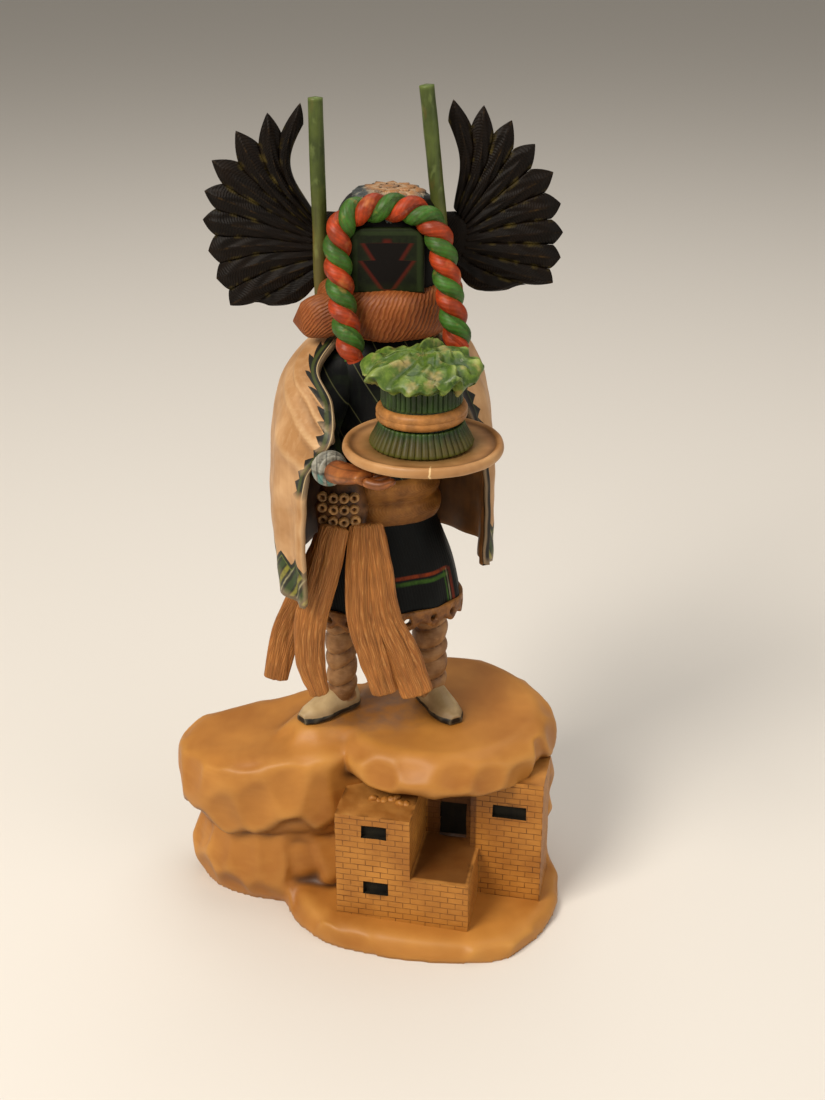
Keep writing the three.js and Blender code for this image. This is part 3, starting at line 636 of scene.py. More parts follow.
class Coat:
    """A material under way: where it reads its place, and its layers so far."""

    def __init__(self, name: str) -> None:
        """Starts an empty material."""
        self.material = bpy.data.materials.new(name)
        self.material.use_nodes = True
        self.tree = self.material.node_tree
        self.tree.nodes.clear()
        self.place = add_node(self.tree, "ShaderNodeTexCoord", out="Object")
        self.map = add_node(self.tree, "ShaderNodeUVMap", uv_map="Millimetres")
        self.color = None
        self.height: Optional[Field] = None

    def part(self, vector: Socket, axis: str) -> Field:
        """Reads one coordinate of a vector."""
        return Field(self.tree, add_node(self.tree, "ShaderNodeSeparateXYZ", {0: vector}, out=axis))

    @property
    def u(self) -> Field:
        """Millimetres across the surface."""
        return self.part(self.map, "X")

    @property
    def v(self) -> Field:
        """Millimetres along the surface."""
        return self.part(self.map, "Y")

    def measure(self, name: str) -> Field:
        """Reads a number stored on the mesh."""
        return Field(self.tree, add_node(self.tree, "ShaderNodeAttribute", out="Fac", attribute_name=name))

    def along(self, axis: str) -> Field:
        """Millimetres along an axis of the frame."""
        return self.part(self.place, axis) * (1 / MM)

    def off(self, axis: str) -> Field:
        """Millimetres from the doll's own middle along an axis."""
        return (self.part(self.place, axis) - DOLL["XYZ".index(axis)]) * (1 / MM)

    def clouds(self, size: float | Row, detail: float = 3, mapped: bool = False, seed: float = 0) -> Field:
        """Gives soft random clouds, 0 to 1.

        Args:
            size: Size of a cloud in millimetres, one for all or one along each axis.
            detail: How many finer layers it has.
            mapped: True to follow the surface's own map.
            seed: Moves the pattern elsewhere.

        Returns:
            The clouds, 0.5 on average.
        """
        size = (size,) * 3 if np.isscalar(size) else size
        scale = [(1.0 if mapped else 1 / MM) / s for s in size]
        source = self.map if mapped else self.place
        spot = add_node(self.tree, "ShaderNodeMapping", {"Vector": source, "Scale": scale, "Location": (seed,) * 3})
        inputs = {"Vector": spot, "Scale": 1.0, "Detail": detail, "Roughness": 0.55}
        return Field(self.tree, add_node(self.tree, "ShaderNodeTexNoise", inputs))

    def patches(self, size: float | Row, level: float, gain: float, detail: float, seed: float,
                mapped: bool = False) -> Field:
        """Gives clouds with a clear edge: 0 under a level, and 1 soon over it, by the gain."""
        return ((self.clouds(size, detail, mapped, seed) - level) * gain).held()

    def tint(self, amount: Field | float, code: str, blend: str = "MIX") -> None:
        """Lays a colour over what is there by an amount from 0 to 1."""
        inputs = {0: amount, 6: self.color, 7: linear(code)}
        self.color = add_node(self.tree, "ShaderNodeMix", inputs, out=2, data_type="RGBA", blend_type=blend)

    def stand(self, amount: Field) -> None:
        """Adds a height in millimetres to the surface."""
        self.height = amount if self.height is None else self.height + amount


@dataclass(frozen=True)
class Finish:
    """A stained or painted wood surface.

    Attributes:
        name: What the real finish is.
        base: Main colour.
        deep: Colour of the darker patches and of the grain's dark streaks.
        light: Colour of the grain's light streaks and of rubbed edges.
        blotch: Size of the patches in millimetres.
        grain: Size of the grain's streaks in millimetres along x, y, z.
        streak: How strongly the grain shows.
        wear: How strongly edges are rubbed.
        roughness: The shader's roughness.
        bump: Height of the grain in millimetres.
        varnish: Weight of the clear coat.
        shine: The shader's specular level.
        hollow_shade: How strongly shade is painted into hollows.
        mapped: True when the grain follows the surface's own map.
        pattern: Paints what is drawn on top.
    """

    name: str
    base: str
    deep: str
    light: str
    blotch: float = 7.0
    grain: Triple = (0.9, 0.9, 9.0)
    streak: float = 0.35
    wear: float = 0.6
    roughness: float = 0.5
    bump: float = 0.08
    varnish: float = 0.12
    shine: float = 0.3
    hollow_shade: float = 0.7
    mapped: bool = False
    pattern: Optional[Callable[[Coat], None]] = None

    def material(self) -> bpy.types.Material:
        """Builds the material, or hands back the one made before.

        Returns:
            The material.
        """
        if self.name in bpy.data.materials:
            return bpy.data.materials[self.name]
        coat = Coat(self.name)
        tree = coat.tree
        patches = coat.clouds(self.blotch)
        grain = coat.clouds(self.grain, 4, self.mapped, 3.7)
        coat.color = add_node(tree, "ShaderNodeMix", {
            0: ((patches - 0.38) * 3.2).held(), 6: linear(self.deep), 7: linear(self.base),
        }, out=2, data_type="RGBA")
        coat.tint(((grain - 0.5) * 3.4 * self.streak).op("MAXIMUM", 0.0), self.light)
        coat.tint(((grain * -1 + 0.5) * 3.4 * self.streak).op("MAXIMUM", 0.0), self.deep)
        coat.height = grain * self.bump
        if self.pattern:
            self.pattern(coat)
        relief = coat.measure("relief")
        coat.tint(((relief - 0.2) * (0.4 * self.wear)).op("MAXIMUM", 0.0), self.light, "SCREEN")
        # Painted shade: hollows are darkened towards dark brown by their relief.
        coat.tint(((relief + 0.15) * -self.hollow_shade).op("MAXIMUM", 0.0), "#4A3020", "MULTIPLY")
        rough = (patches - 0.5) * 0.16 + (grain - 0.5) * 0.1 + self.roughness
        bump = add_node(tree, "ShaderNodeBump", {"Strength": 1.0, "Distance": MM, "Height": coat.height})
        shader = add_node(tree, "ShaderNodeBsdfPrincipled", {
            "Base Color": coat.color, "Roughness": rough, "Normal": bump, "IOR": 1.5,
            "Coat Weight": self.varnish, "Coat Roughness": 0.32, "Specular IOR Level": self.shine,
        })
        add_node(tree, "ShaderNodeOutputMaterial", {"Surface": shader})
        return coat.material


# Finishes

def paint_cape(coat: Coat) -> None:
    """Paints the cape's border: u is the way in from the front edge, v the height over the hem.

    Args:
        coat: The coat that it paints on.
    """
    edge, rise = coat.u, coat.v
    wobble = (coat.clouds(2.2, 1, seed=9) - 0.5) * 0.5
    upper = rise.below(34.0, 3.0).rest()
    right = coat.off("X").below(0.0, 1.0).rest()
    border = edge.below(rise.zigzag(3.9) * 2.2 + 2.6 + wobble) * upper
    coat.tint(border, "#12140F")
    coat.tint(edge.between(1.4, 2.5, 0.4) * border * 0.6, "#4A5522")
    coat.tint(edge.between(0.3, 0.62) * upper * 0.8, "#C9B083")
    coat.tint(edge.below(0.35) * (upper + right * 0.9).op("MINIMUM", 1.0), "#17130D")
    top = edge.zigzag(6.4) * 3.4 + 10.5 + wobble
    coat.tint(rise.below(top), "#1A1E10")
    field = rise.between(0.9, top - 1.8, 0.3)
    slash = (edge * 0.8 + rise * 0.55 + wobble).repeat(5.2)
    worn = coat.patches(1.6, 0.0, 1.7, 2, 13)
    coat.tint(slash.between(0.2, 1.3, 0.4) * field * worn * 0.75, "#8F8A2A")
    coat.tint(slash.between(1.8, 3.4, 0.4) * field * 0.7, "#33481A")
    coat.tint(slash.between(4.3, 4.7, 0.3) * field * worn * 0.6, "#B5AE86")
    coat.tint(rise.between(top - 1.9, top - 1.4) * worn * 0.6, "#6E7A2E")
    coat.tint(edge.below(2.2) * right, "#15110C")


def paint_dress(coat: Coat) -> None:
    """Paints the stripes over the hem: u is the way round from the right front, v the height.

    Args:
        coat: The coat that it paints on.
    """
    across, rise = coat.u, coat.v
    knit = across.zigzag(0.9)
    coat.tint((knit - 0.62) * 0.3, "#232C2A")
    coat.stand(knit * 0.05)
    worn = coat.patches(2.0, 0.0, 1.6, 2, 12)
    box = across.between(-17.0, 0.0, 1.5) * worn
    coat.tint(rise.between(44.4, 45.4, 0.4) * box * 0.7, "#9A3D16")
    coat.tint(rise.between(42.6, 43.7, 0.5) * box * 0.8, "#3F6420")
    down = rise.between(35.0, 44.8, 0.6) * worn
    coat.tint(across.between(0.3, 1.3, 0.4) * down * 0.6, "#862E12")
    coat.tint(across.between(-0.6, -0.1, 0.2) * down * 0.6, "#8F8A6C")
    coat.tint(across.between(-1.6, -1.0, 0.3) * down * 0.7, "#3F6420")


def paint_chest(coat: Coat) -> None:
    """Paints a soft green sheen, a painted highlight, and thin light lines over the dark upper body.

    Args:
        coat: The coat that it paints on.
    """
    # Painted highlight: soft green sheen patches.
    coat.tint(coat.patches((9.0, 9.0, 7.0), 0.52, 5, 2, 21) * 0.6, "#2C3A18")
    line = (coat.along("X") + coat.along("Z") * 0.62).repeat(8.2)
    coat.tint(line.between(0.3, 0.6) * 0.4, "#7E8055")


def paint_panel(coat: Coat) -> None:
    """Draws the stepped triangle on the mask's panel: u across, v up from its middle.

    Args:
        coat: The coat that it paints on.
    """
    across, rise = coat.u.op("ABSOLUTE"), coat.v
    upper = rise.between(0.3, 4.7)
    lower = rise.between(-7.0, 0.3)
    outline = ((rise * 0.62 + 2.7) * upper) + ((rise * 0.72 + 6.0) * lower)
    shape = (upper + lower).op("MINIMUM", 1.0)
    rim = (across.below(7.4, 0.4) * rise.below(6.6, 0.4)).rest() * (across.below(8.5, 0.4) * rise.below(7.6, 0.4))
    # The rim and the red are painted dim, partly as the rope's shade over the panel.
    coat.tint(rim * 0.7, "#27331A")
    coat.tint(across.below(outline + 1.0, 0.9) * rise.between(-7.6, 5.6, 0.8) * 0.7, "#54120A")
    coat.tint(across.below(outline, 0.6) * shape, "#0B0706")


def paint_fingers(coat: Coat) -> None:
    """Darkens thin lines along the fingers."""
    coat.tint(coat.u.repeat(2.6).between(0.0, 0.5, 0.3) * 0.6, "#3A1D0B")


def paint_boot(coat: Coat) -> None:
    """Blackens the sole, 1.8 mm thick, and browns the edge over it.

    Args:
        coat: The coat that it paints on.
    """
    over = coat.off("Z")
    coat.tint(over.below(2.9, 1.4) * 0.45, "#5A4020")
    coat.tint(over.below(1.8, 0.2), "#14110C")


def paint_fringe(coat: Coat) -> None:
    """Scores fine lines along a strand: u goes across it, v along.

    Args:
        coat: The coat that it paints on.
    """
    wander = coat.clouds((1.4, 16.0, 1.0), 2, True, 5) * 2.6
    fine = (coat.u + wander).zigzag(0.5)
    coat.stand(fine * 0.13)
    coat.tint((fine * -1 + 0.42) * 1.15, "#6A3E16")
    coat.tint((fine - 0.72) * 0.9, "#D6A868")
    coat.tint(coat.patches((0.7, 26.0, 1.0), 0.66, 9, 2, 8, True) * 0.6, "#4A2A0E")


def paint_ruff(coat: Coat) -> None:
    """Draws slanting locks of fur: u goes round the roll, v along it.

    Args:
        coat: The coat that it paints on.
    """
    wander = coat.clouds((3.0, 6.0, 1.0), 2, True, 2) * 1.6
    lock = (coat.v - coat.u * 0.45 + wander).zigzag(0.95)
    coat.stand(lock * 0.16)
    coat.tint((lock * -1 + 0.4) * 1.1, "#74350F")
    coat.tint((lock - 0.75) * 1.0, "#CF8A50")


def paint_belt(coat: Coat) -> None:
    """Scores fine slanting lines round the belt.

    Args:
        coat: The coat that it paints on.
    """
    line = (coat.u + coat.v * 1.1).zigzag(0.95)
    coat.stand(line * 0.08)
    coat.tint((line * -1 + 0.3) * 0.7, "#6B3B14")


def paint_feather(coat: Coat) -> None:
    """Draws quill and barbs: u is the way off the quill, v the way to the tip in millimetres.

    Args:
        coat: The coat that it paints on.
    """
    off = coat.u.op("ABSOLUTE")
    barb = (coat.v - off * 1.1 + coat.clouds((1.5, 3.0, 1.0), 2, True, 4) * 1.2).zigzag(0.8)
    coat.stand(barb * 0.08)
    coat.tint((barb - 0.6) * 0.35, "#33240F")
    worn = coat.patches(3.0, 0.5, 5, 3, 71)
    coat.tint(off.between(2.6, 3.6, 0.5) * worn * 0.55, "#55491C")
    coat.tint(off.below(0.25, 0.25) * worn * 0.5, "#4A3514")


def paint_crown(coat: Coat) -> None:
    """Shades the crown's feathers: dark on the left, blue-grey on the right, with a tan heart.

    Args:
        coat: The coat that it paints on.
    """
    x, y = coat.off("X"), coat.off("Y")
    fine = (coat.u + coat.clouds((1.0, 5.0, 1.0), 1, True, 6) * 0.2 + 0.15).zigzag(0.42)
    coat.stand(fine * 0.08)
    patches = coat.clouds(3.0, 3, seed=23) * 8.0
    coat.tint((x + patches).below(0.0, 6.0) * 0.85, "#15181A")
    heart = ((x - 2.5).op("POWER", 2.0) + (y + 1.0).op("POWER", 2.0)).op("SQRT")
    coat.tint((heart + patches * 0.5).below(9.0, 2.5) * 0.9, "#A87440")
    coat.tint((coat.v + patches * 0.05).between(0.62, 0.8, 0.1) * 0.35, "#B9B29A")
    coat.tint((fine * -1 + 0.4) * 1.3 * coat.v.between(0.25, 2.0, 0.2), "#2A221A")


def paint_court_shade(coat: Coat) -> None:
    """Paints shade on the court's floor and back wall, which lie in the shadow of the slab and the left block.

    Args:
        coat: The coat that it paints on.
    """
    village = Pueblo()
    turn, edge = math.radians(village.turn), village.block[0]
    x, y, z = (coat.along(axis) for axis in "XYZ")
    x, y = x - (ROCK[0] / MM + village.corner[0]), y - (ROCK[1] / MM + village.corner[1])
    u = x * math.cos(turn) + y * math.sin(turn)
    v = y * math.cos(turn) - x * math.sin(turn)
    court = u.between(edge + 0.5, edge + village.terrace[0] - 0.9, 0.5) * v.between(1.4, village.court + 0.8, 0.5)
    # Painted shade over the court's floor and back wall.
    coat.tint(court * z.between(village.terrace[1] - 0.8, village.block[1] + 4, 0.8) * 0.8, "#522D0D")


def paint_bricks(coat: Coat) -> None:
    """Burns the courses of bricks into the walls, 1.9 mm high and 4.3 mm long, over the shade painted in the court.

    Args:
        coat: The coat that it paints on.
    """
    # The court's painted shade goes on first.
    paint_court_shade(coat)
    inputs = {
        "Vector": coat.map, "Scale": 1.0, "Mortar Size": 0.13, "Mortar Smooth": 0.4, "Brick Width": 4.3,
        "Row Height": 1.9, "Bias": 0.0, "Color1": (1, 1, 1, 1), "Color2": (1, 1, 1, 1), "Mortar": (0, 0, 0, 1),
    }
    mortar = Field(coat.tree, add_node(coat.tree, "ShaderNodeTexBrick", inputs, out="Fac"))
    coat.tint(mortar * coat.patches(3.0, 0.25, 2.6, 3, 6) * 0.9, "#5A310E")
    coat.stand(mortar * -0.12)


def paint_stone(coat: Coat) -> None:
    """Paints a grey-mauve shadow and patina round the feet, lays brown into the low parts, and paints shade under
    overhangs and deep between the tiers.

    Args:
        coat: The coat that it paints on.
    """
    x, y, z = coat.off("X") + 5.0, coat.off("Y") + 4.0, coat.along("Z")
    near = (x * x * 0.45 + y * y).op("SQRT")
    cloud = coat.patches(5.0, 0.36, 3.2, 4, 30)
    # Painted shadow of the doll round its feet in grey-mauve, partly patina.
    coat.tint(near.below(12.0, 13.0) * z.between(43.0, 60.0, 3.0) * cloud * 0.8, "#705848")
    coat.tint(coat.patches((24.0, 30.0, 3.4), 0.56, 4, 2, 14) * 0.28, "#9A5F22")
    coat.tint(z.below(3.0, 6.0) * 0.25, "#94591C")
    # Painted shade on the faces that look down, under the tiers and the slab.
    coat.tint(coat.measure("under") * z.below(4.0, 3.0).rest() * 0.9, "#633A14")
    # Painted shade deep between the tiers.
    coat.tint(coat.measure("deep") * 0.9, "#46280F")


def paint_tray(coat: Coat) -> None:
    """Paints shade on the tray round the bundle's foot and draws the hairline crack at its front.

    Args:
        coat: The coat that it paints on.
    """
    x, y = coat.off("X") - TRAY_MIDDLE[0], coat.off("Y") - TRAY_MIDDLE[1]
    wander = (coat.clouds(3.0, 2, seed=3) - 0.5) * 1.6
    # Painted shade round the bundle's foot.
    coat.tint((x * x + y * y).op("SQRT").below(14.6, 3.0) * 0.55, "#3E3A18")
    crack = (x - 1.6 + wander).op("ABSOLUTE")
    coat.tint(crack.below(0.16, 0.14) * y.below(-15.5, 1.0) * 0.7, "#F0D09A")


def paint_leaf(coat: Coat) -> None:
    """Lets tan wood and dark green show through the leaves' thin paint, and paints shade in the folds and highlights on
    the ridges.

    Args:
        coat: The coat that it paints on.
    """
    coat.tint(coat.patches(4.5, 0.54, 6, 3, 40) * 0.7, "#A8905C")
    coat.tint(coat.patches(3.2, 0.54, 6, 2, 44) * 0.6, "#2C4A16")
    # Painted shade in the folds and painted highlights on the ridges.
    relief = coat.measure("relief")
    coat.tint(((relief + 0.05) * -1.4).held() * 0.8, "#1C300C")
    coat.tint(((relief - 0.1) * 1.3).held() * 0.35, "#A3AE60")


def paint_shoots(coat: Coat) -> None:
    """Browns the shoots' lower ends."""
    over = coat.off("Z") - (TRAY_MIDDLE[2] + 2.8)
    coat.tint((over + coat.clouds(2.0, 3, seed=47) * 4.0).below(5.6, 3.0) * 0.75, "#4E3A16")


def paint_yarn(coat: Coat) -> None:
    """Twists fine fibres round a strand.

    Args:
        coat: The coat that it paints on.
    """
    fibre = (coat.measure("around") * 9.0 + coat.measure("along") * (0.55 / MM)).zigzag(0.9)
    coat.stand(fibre * 0.07)
    coat.tint((fibre * -1 + 0.42) * 1.0, "#3B1A0A")
    coat.tint(coat.patches(4.0, 0.6, 6, 2, 17) * 0.35, "#D98A4A")


def paint_bracelet(coat: Coat) -> None:
    """Rings the bracelet with turquoise and silver.

    Args:
        coat: The coat that it paints on.
    """
    over, across = coat.off("Z"), coat.off("X")
    lower = over.below(87.6, 0.5)
    coat.tint(lower * across.repeat(2.4).between(0.3, 1.7, 0.3) * 0.9, "#2C6C68")
    coat.tint(across.repeat(2.4).between(0.0, 0.35, 0.3) * 0.8, "#1E201C")
    coat.tint(over.between(87.3, 88.0, 0.3) * 0.8, "#2A2A24")


def paint_stick(coat: Coat) -> None:
    """Mottles the twigs with olive and a little brown.

    Args:
        coat: The coat that it paints on.
    """
    coat.tint(coat.patches((2.6, 2.6, 5.0), 0.58, 6, 3, 50) * 0.4, "#8A9A58")
    coat.tint(coat.patches((3.5, 3.5, 12.0), 0.6, 6, 2, 55) * 0.45, "#6B4A1E")
    coat.tint(coat.along("Z").below(196.0, 26.0) * 0.5, "#6A5424")


# Cottonwood root, sanded smooth and stained amber: soft bands and a low gloss, with shade painted under its tiers, deep
# between them and round the doll's feet.
STONE = Finish("stained_cottonwood_rock", "#BC8038", "#9C6326", "#D6A052", 26.0, (6.0, 16.0, 2.4), 0.1, 0.45,
               0.5, 0.05, 0.06, hollow_shade=0.3, pattern=paint_stone)
# The same wood, its bricks burned in with a hot point, and shade painted in the court.
ADOBE = Finish("burned_brick_wall", "#BA7E34", "#9A6224", "#CF964C", 14.0, (6.0, 6.0, 1.2), 0.15, 0.35,
               0.52, 0.04, 0.06, pattern=paint_bricks)
# The same wood on the flat roofs and the court's floor, with no bricks, and shade painted on the court's floor.
ROOF = Finish("stained_flat_roof", "#B37C3C", "#8E5A24", "#CF9A58", 9.0, (3.0, 9.0, 3.0), 0.2, 0.35,
              0.52, 0.05, 0.05, pattern=paint_court_shade)
# Brushed dark stain in the openings: dull and nearly black.
OPENING = Finish("dark_stained_opening", "#1E1B12", "#12100B", "#38301F", 4.0, streak=0.2, wear=0.2, roughness=0.75,
                 varnish=0.0, shine=0.2)
# Bare pale wood under a thin cream stain, with its grain showing.
CAPE = Finish("cream_stained_cape", "#C39A6E", "#A67A4C", "#DDBB90", 10.0, (1.1, 1.1, 13.0), 0.22, 0.7,
              0.5, 0.06, 0.1, pattern=paint_cape)
# The cape's inner side: bare wood under brown stain, even and dull.
CAPE_INSIDE = Finish("brown_stained_lining", "#82521E", "#563514", "#9C6C38", 9.0, (1.2, 1.2, 12.0), 0.15, 0.5, 0.6,
                     0.05, 0.04)
# Acrylic in near black with a satin face, brushed along the body.
DRESS = Finish("black_painted_dress", "#0B0D0E", "#060707", "#1B2221", 8.0, (1.0, 1.0, 7.0), 0.25, 0.3,
               0.55, 0.05, 0.0, 0.12, pattern=paint_dress)
# Thin navy over black, with a soft green sheen painted on as highlight, and thin light lines.
CHEST = Finish("navy_painted_upper_body", "#0A0D10", "#050607", "#1D2618", 8.0, (1.0, 1.0, 6.0), 0.25, 0.35,
               0.5, 0.05, 0.02, 0.14, pattern=paint_chest)
# Stained carved edge: tan, with shade painted in its holes.
LACE = Finish("tan_lace_edge", "#9A642C", "#5E3614", "#BF8C50", 3.0, (0.6, 0.6, 0.6), 0.25, 0.8, 0.55)
# Stained carved cloth: tan, with fine slanting cuts.
BELT = Finish("tan_wrapped_belt", "#A56C2E", "#704416", "#C6924C", 6.0, (1.6, 1.6, 0.8), 0.2, 0.8,
              0.55, 0.05, 0.06, pattern=paint_belt)
# Stained strands scored along their length: dark cuts, rubbed ridges.
SASH = Finish("tan_carved_fringe", "#AC6C30", "#8E5622", "#C8904C", 12.0, (0.7, 12.0, 1.0), 0.25, 0.55,
              0.55, 0.05, 0.08, mapped=True, pattern=paint_fringe)
# Pierced balls in tan stain, with shade painted nearly black in their holes.
RINGS = Finish("tan_ring_knots", "#AE7B42", "#4A2A0E", "#D2A468", 3.0, (0.7, 0.7, 0.7), 0.25, 1.0, 0.5)
# The darker ground behind the balls, under the same stain.
KNOT = Finish("brown_sash_knot", "#6E4520", "#3A210C", "#96693A", 3.0, (0.7, 0.7, 0.7), 0.25, 1.0, 0.55)
# Thin cream on carved wraps, with shade painted between the rolls.
LEGGING = Finish("cream_leg_wraps", "#A0764A", "#6E4622", "#C49E70", 5.0, (2.0, 2.0, 0.7), 0.2, 1.0, 0.55)
# Flat cream paint with a black sole, brown where they meet.
BOOT = Finish("cream_painted_boot", "#BDA47A", "#A2875C", "#D9C69C", 9.0, (1.4, 1.4, 1.4), 0.12, 0.6, 0.5,
              pattern=paint_boot)
# Red-brown skin paint, dark between the fingers, with a slight gloss.
HAND = Finish("orange_brown_hand", "#9E5826", "#5A2A0E", "#C47E40", 4.0, (0.9, 0.9, 0.9), 0.2, 0.9,
              0.48, 0.03, 0.12, pattern=paint_fingers)
# Dull silver paint with turquoise blocks below.
BRACELET = Finish("silver_and_turquoise_bracelet", "#A3A294", "#55534A", "#D0CEC0", 2.0, (0.8, 0.8, 0.8), 0.3, 0.9,
                  0.4, 0.02, 0.15, pattern=paint_bracelet)
# Russet stain on cut locks of fur: dark between them, light on top.
RUFF = Finish("russet_fur_ruff", "#8E4A1A", "#642E0C", "#B27038", 8.0, (0.8, 3.0, 1.0), 0.2, 0.6,
              0.52, 0.05, 0.1, mapped=True, pattern=paint_ruff)
# Matt black paint with a faint brush grain.
MASK = Finish("black_painted_mask", "#0C0B09", "#060504", "#201D15", 6.0, (1.4, 1.4, 5.0), 0.25, 0.35, 0.5, 0.05,
              0.03, 0.14)
# Dark green paint with a red and black drawing, its rim and red painted dim, partly as shade from the rope over the
# panel.
PANEL = Finish("green_painted_panel", "#1A210F", "#10150A", "#2E3A1A", 4.0, (1.4, 1.4, 1.4), 0.25, 0.4,
               0.48, 0.04, 0.04, 0.14, pattern=paint_panel)
# Short painted feathers: slate on the left, blue-grey, a tan heart.
CROWN = Finish("grey_crown_feathers", "#5C6664", "#33393A", "#8B9490", 3.0, (0.8, 0.8, 0.8), 0.3, 0.8,
               0.55, 0.05, 0.05, pattern=paint_crown)
# Brown-black paint on carved feathers, olive where it's rubbed thin.
FEATHER = Finish("brown_black_feathers", "#100803", "#060301", "#241608", 8.0, (1.0, 5.0, 1.0), 0.35, 0.5,
                 0.55, 0.05, 0.03, 0.12, mapped=True, pattern=paint_feather)
# Olive paint brushed thinly along a twig: mottled, browner low down.
TWIG = Finish("olive_painted_twig", "#485420", "#2F3A14", "#687A3C", 6.0, (1.4, 1.4, 10.0), 0.35, 0.7,
              0.5, 0.06, 0.08, pattern=paint_stick)
# Bare pale wood, turned and oiled: fine lines across its floor, and shade painted round the bundle.
TRAY = Finish("turned_pale_wood_tray", "#B98A58", "#98693A", "#D3AB7C", 12.0, (12.0, 2.0, 2.0), 0.2, 0.7,
              0.48, 0.04, 0.1, pattern=paint_tray)
# Green paint brushed over lumps, with bare wood showing; highlights painted yellow-green on the tops and shade painted
# dark in the folds.
LEAF = Finish("green_painted_leaves", "#5A741E", "#304A12", "#8A9C46", 4.0, (0.9, 0.9, 0.9), 0.35, 0.8,
              0.42, 0.14, 0.16, hollow_shade=0.3, pattern=paint_leaf)
# Dark olive paint in fine flutes, brown at their feet.
SHOOTS = Finish("olive_fluted_shoots", "#22390F", "#0C1505", "#4C6C22", 4.0, (0.9, 0.9, 6.0), 0.35, 1.2, 0.55,
                pattern=paint_shoots)
# Tan stain on a smooth round cord.
CORD = Finish("tan_binding_cord", "#A1642E", "#663A14", "#C48C4C", 3.0, (1.0, 1.0, 0.5), 0.3, 0.9, 0.52, 0.05, 0.08)
# Red-orange paint with fine fibres, dark between them.
RED_YARN = Finish("red_orange_yarn", "#A83006", "#5E1804", "#C85018", 4.0, (0.9, 0.9, 0.9), 0.2, 0.6,
                  0.5, 0.03, 0.06, pattern=paint_yarn)
# Green paint with the same fibres.
GREEN_YARN = Finish("green_yarn", "#2C5E14", "#14300A", "#5C8C30", 4.0, (0.9, 0.9, 0.9), 0.2, 0.6,
                    0.5, 0.03, 0.06, pattern=paint_yarn)


# Geometry Nodes

Grow = Callable[[Tree, bpy.types.Node], Socket]
SOCKETS = {float: "NodeSocketFloat", int: "NodeSocketInt", Piece: "NodeSocketObject",
           bpy.types.Material: "NodeSocketMaterial"}


def grown(piece: Piece, name: str, build: Grow, sizes: dict) -> Piece:
    """Runs a Geometry Nodes tree on an object and keeps the plain mesh.

    Args:
        piece: The points or path that the tree starts from.
        name: The tree's name.
        build: Adds the tree's own nodes and returns its geometry.
        sizes: Named inputs, among them the "Finish" set at the end.

    Returns:
        The object with its plain mesh.
    """
    tree = bpy.data.node_groups.new(name, "GeometryNodeTree")
    tree.interface.new_socket("Geometry", in_out="INPUT", socket_type="NodeSocketGeometry")
    for label, value in sizes.items():
        tree.interface.new_socket(label, in_out="INPUT", socket_type=SOCKETS[type(value)])
    tree.interface.new_socket("Geometry", in_out="OUTPUT", socket_type="NodeSocketGeometry")
    start = tree.nodes.new("NodeGroupInput")
    real = add_node(tree, "GeometryNodeRealizeInstances", {0: build(tree, start)})
    dressed = add_node(tree, "GeometryNodeSetMaterial", {"Geometry": real, "Material": start.outputs["Finish"]})
    add_node(tree, "NodeGroupOutput", {0: dressed})
    change = piece.modifiers.new(name, "NODES")
    change.node_group = tree
    for item in tree.interface.items_tree:
        if item.in_out == "INPUT" and item.name in sizes:
            change[item.identifier] = sizes[item.name]
    return settled(piece)


def strand_nodes(tree: Tree, start: bpy.types.Node) -> Socket:
    """Turns a path of edges into a round strand that knows its own length.

    Args:
        tree: The tree that the nodes go in.
        start: The tree's input node.

    Returns:
        The strand's geometry.
    """
    path = add_node(tree, "GeometryNodeMeshToCurve", {0: start.outputs["Geometry"]})
    length = add_node(tree, "GeometryNodeSplineParameter", out="Length")
    path = add_node(tree, "GeometryNodeStoreNamedAttribute", {"Geometry": path, "Name": "along", "Value": length})
    profile = add_node(tree, "GeometryNodeCurvePrimitiveCircle",
                       {"Resolution": start.outputs["Sides"], "Radius": start.outputs["Radius"]})
    share = add_node(tree, "GeometryNodeSplineParameter", out="Factor")
    profile = add_node(tree, "GeometryNodeStoreNamedAttribute", {"Geometry": profile, "Name": "around", "Value": share})
    return add_node(tree, "GeometryNodeCurveToMesh", {"Curve": path, "Profile Curve": profile, "Fill Caps": True})


def scatter_nodes(tree: Tree, start: bpy.types.Node) -> Socket:
    """Sets a small piece on every point, its x axis along the point's facing.

    Args:
        tree: The tree that the nodes go in.
        start: The tree's input node.

    Returns:
        The copies' geometry.
    """
    facing = add_node(tree, "GeometryNodeInputNamedAttribute", {"Name": "facing"}, data_type="FLOAT_VECTOR")
    turn = add_node(tree, "FunctionNodeAlignRotationToVector", {"Vector": facing}, axis="X", pivot_axis="Z")
    piece = add_node(tree, "GeometryNodeObjectInfo", {"Object": start.outputs["Piece"]}, out="Geometry")
    size = add_node(tree, "FunctionNodeRandomValue", {2: start.outputs["Smallest"], 3: 1.0, "Seed": 11},
                    out=1, data_type="FLOAT")
    return add_node(tree, "GeometryNodeInstanceOnPoints", {
        "Points": start.outputs["Geometry"], "Instance": piece, "Rotation": turn, "Scale": size,
    })


def strand(name: str, points: Array, radius: float, finish: Finish, origin: Array, sides: int = 12) -> Piece:
    """Makes a round strand along a path, with both ends closed.

    Args:
        name: The object's name.
        points: The path in millimetres.
        radius: The strand's radius in millimetres.
        finish: Its finish.
        origin: Where the path's zero stands in the frame.
        sides: Sides of its section.

    Returns:
        The strand.
    """
    mesh = bpy.data.meshes.new(name)
    edges = [(i, i + 1) for i in range(len(points) - 1)]
    mesh.from_pydata((points * MM + origin).tolist(), edges, [])
    sizes = {"Radius": radius * MM, "Sides": sides, "Finish": finish.material()}
    made = grown(placed(name, mesh), "strand_along_path", strand_nodes, sizes)
    close_mesh(made.data)
    return made


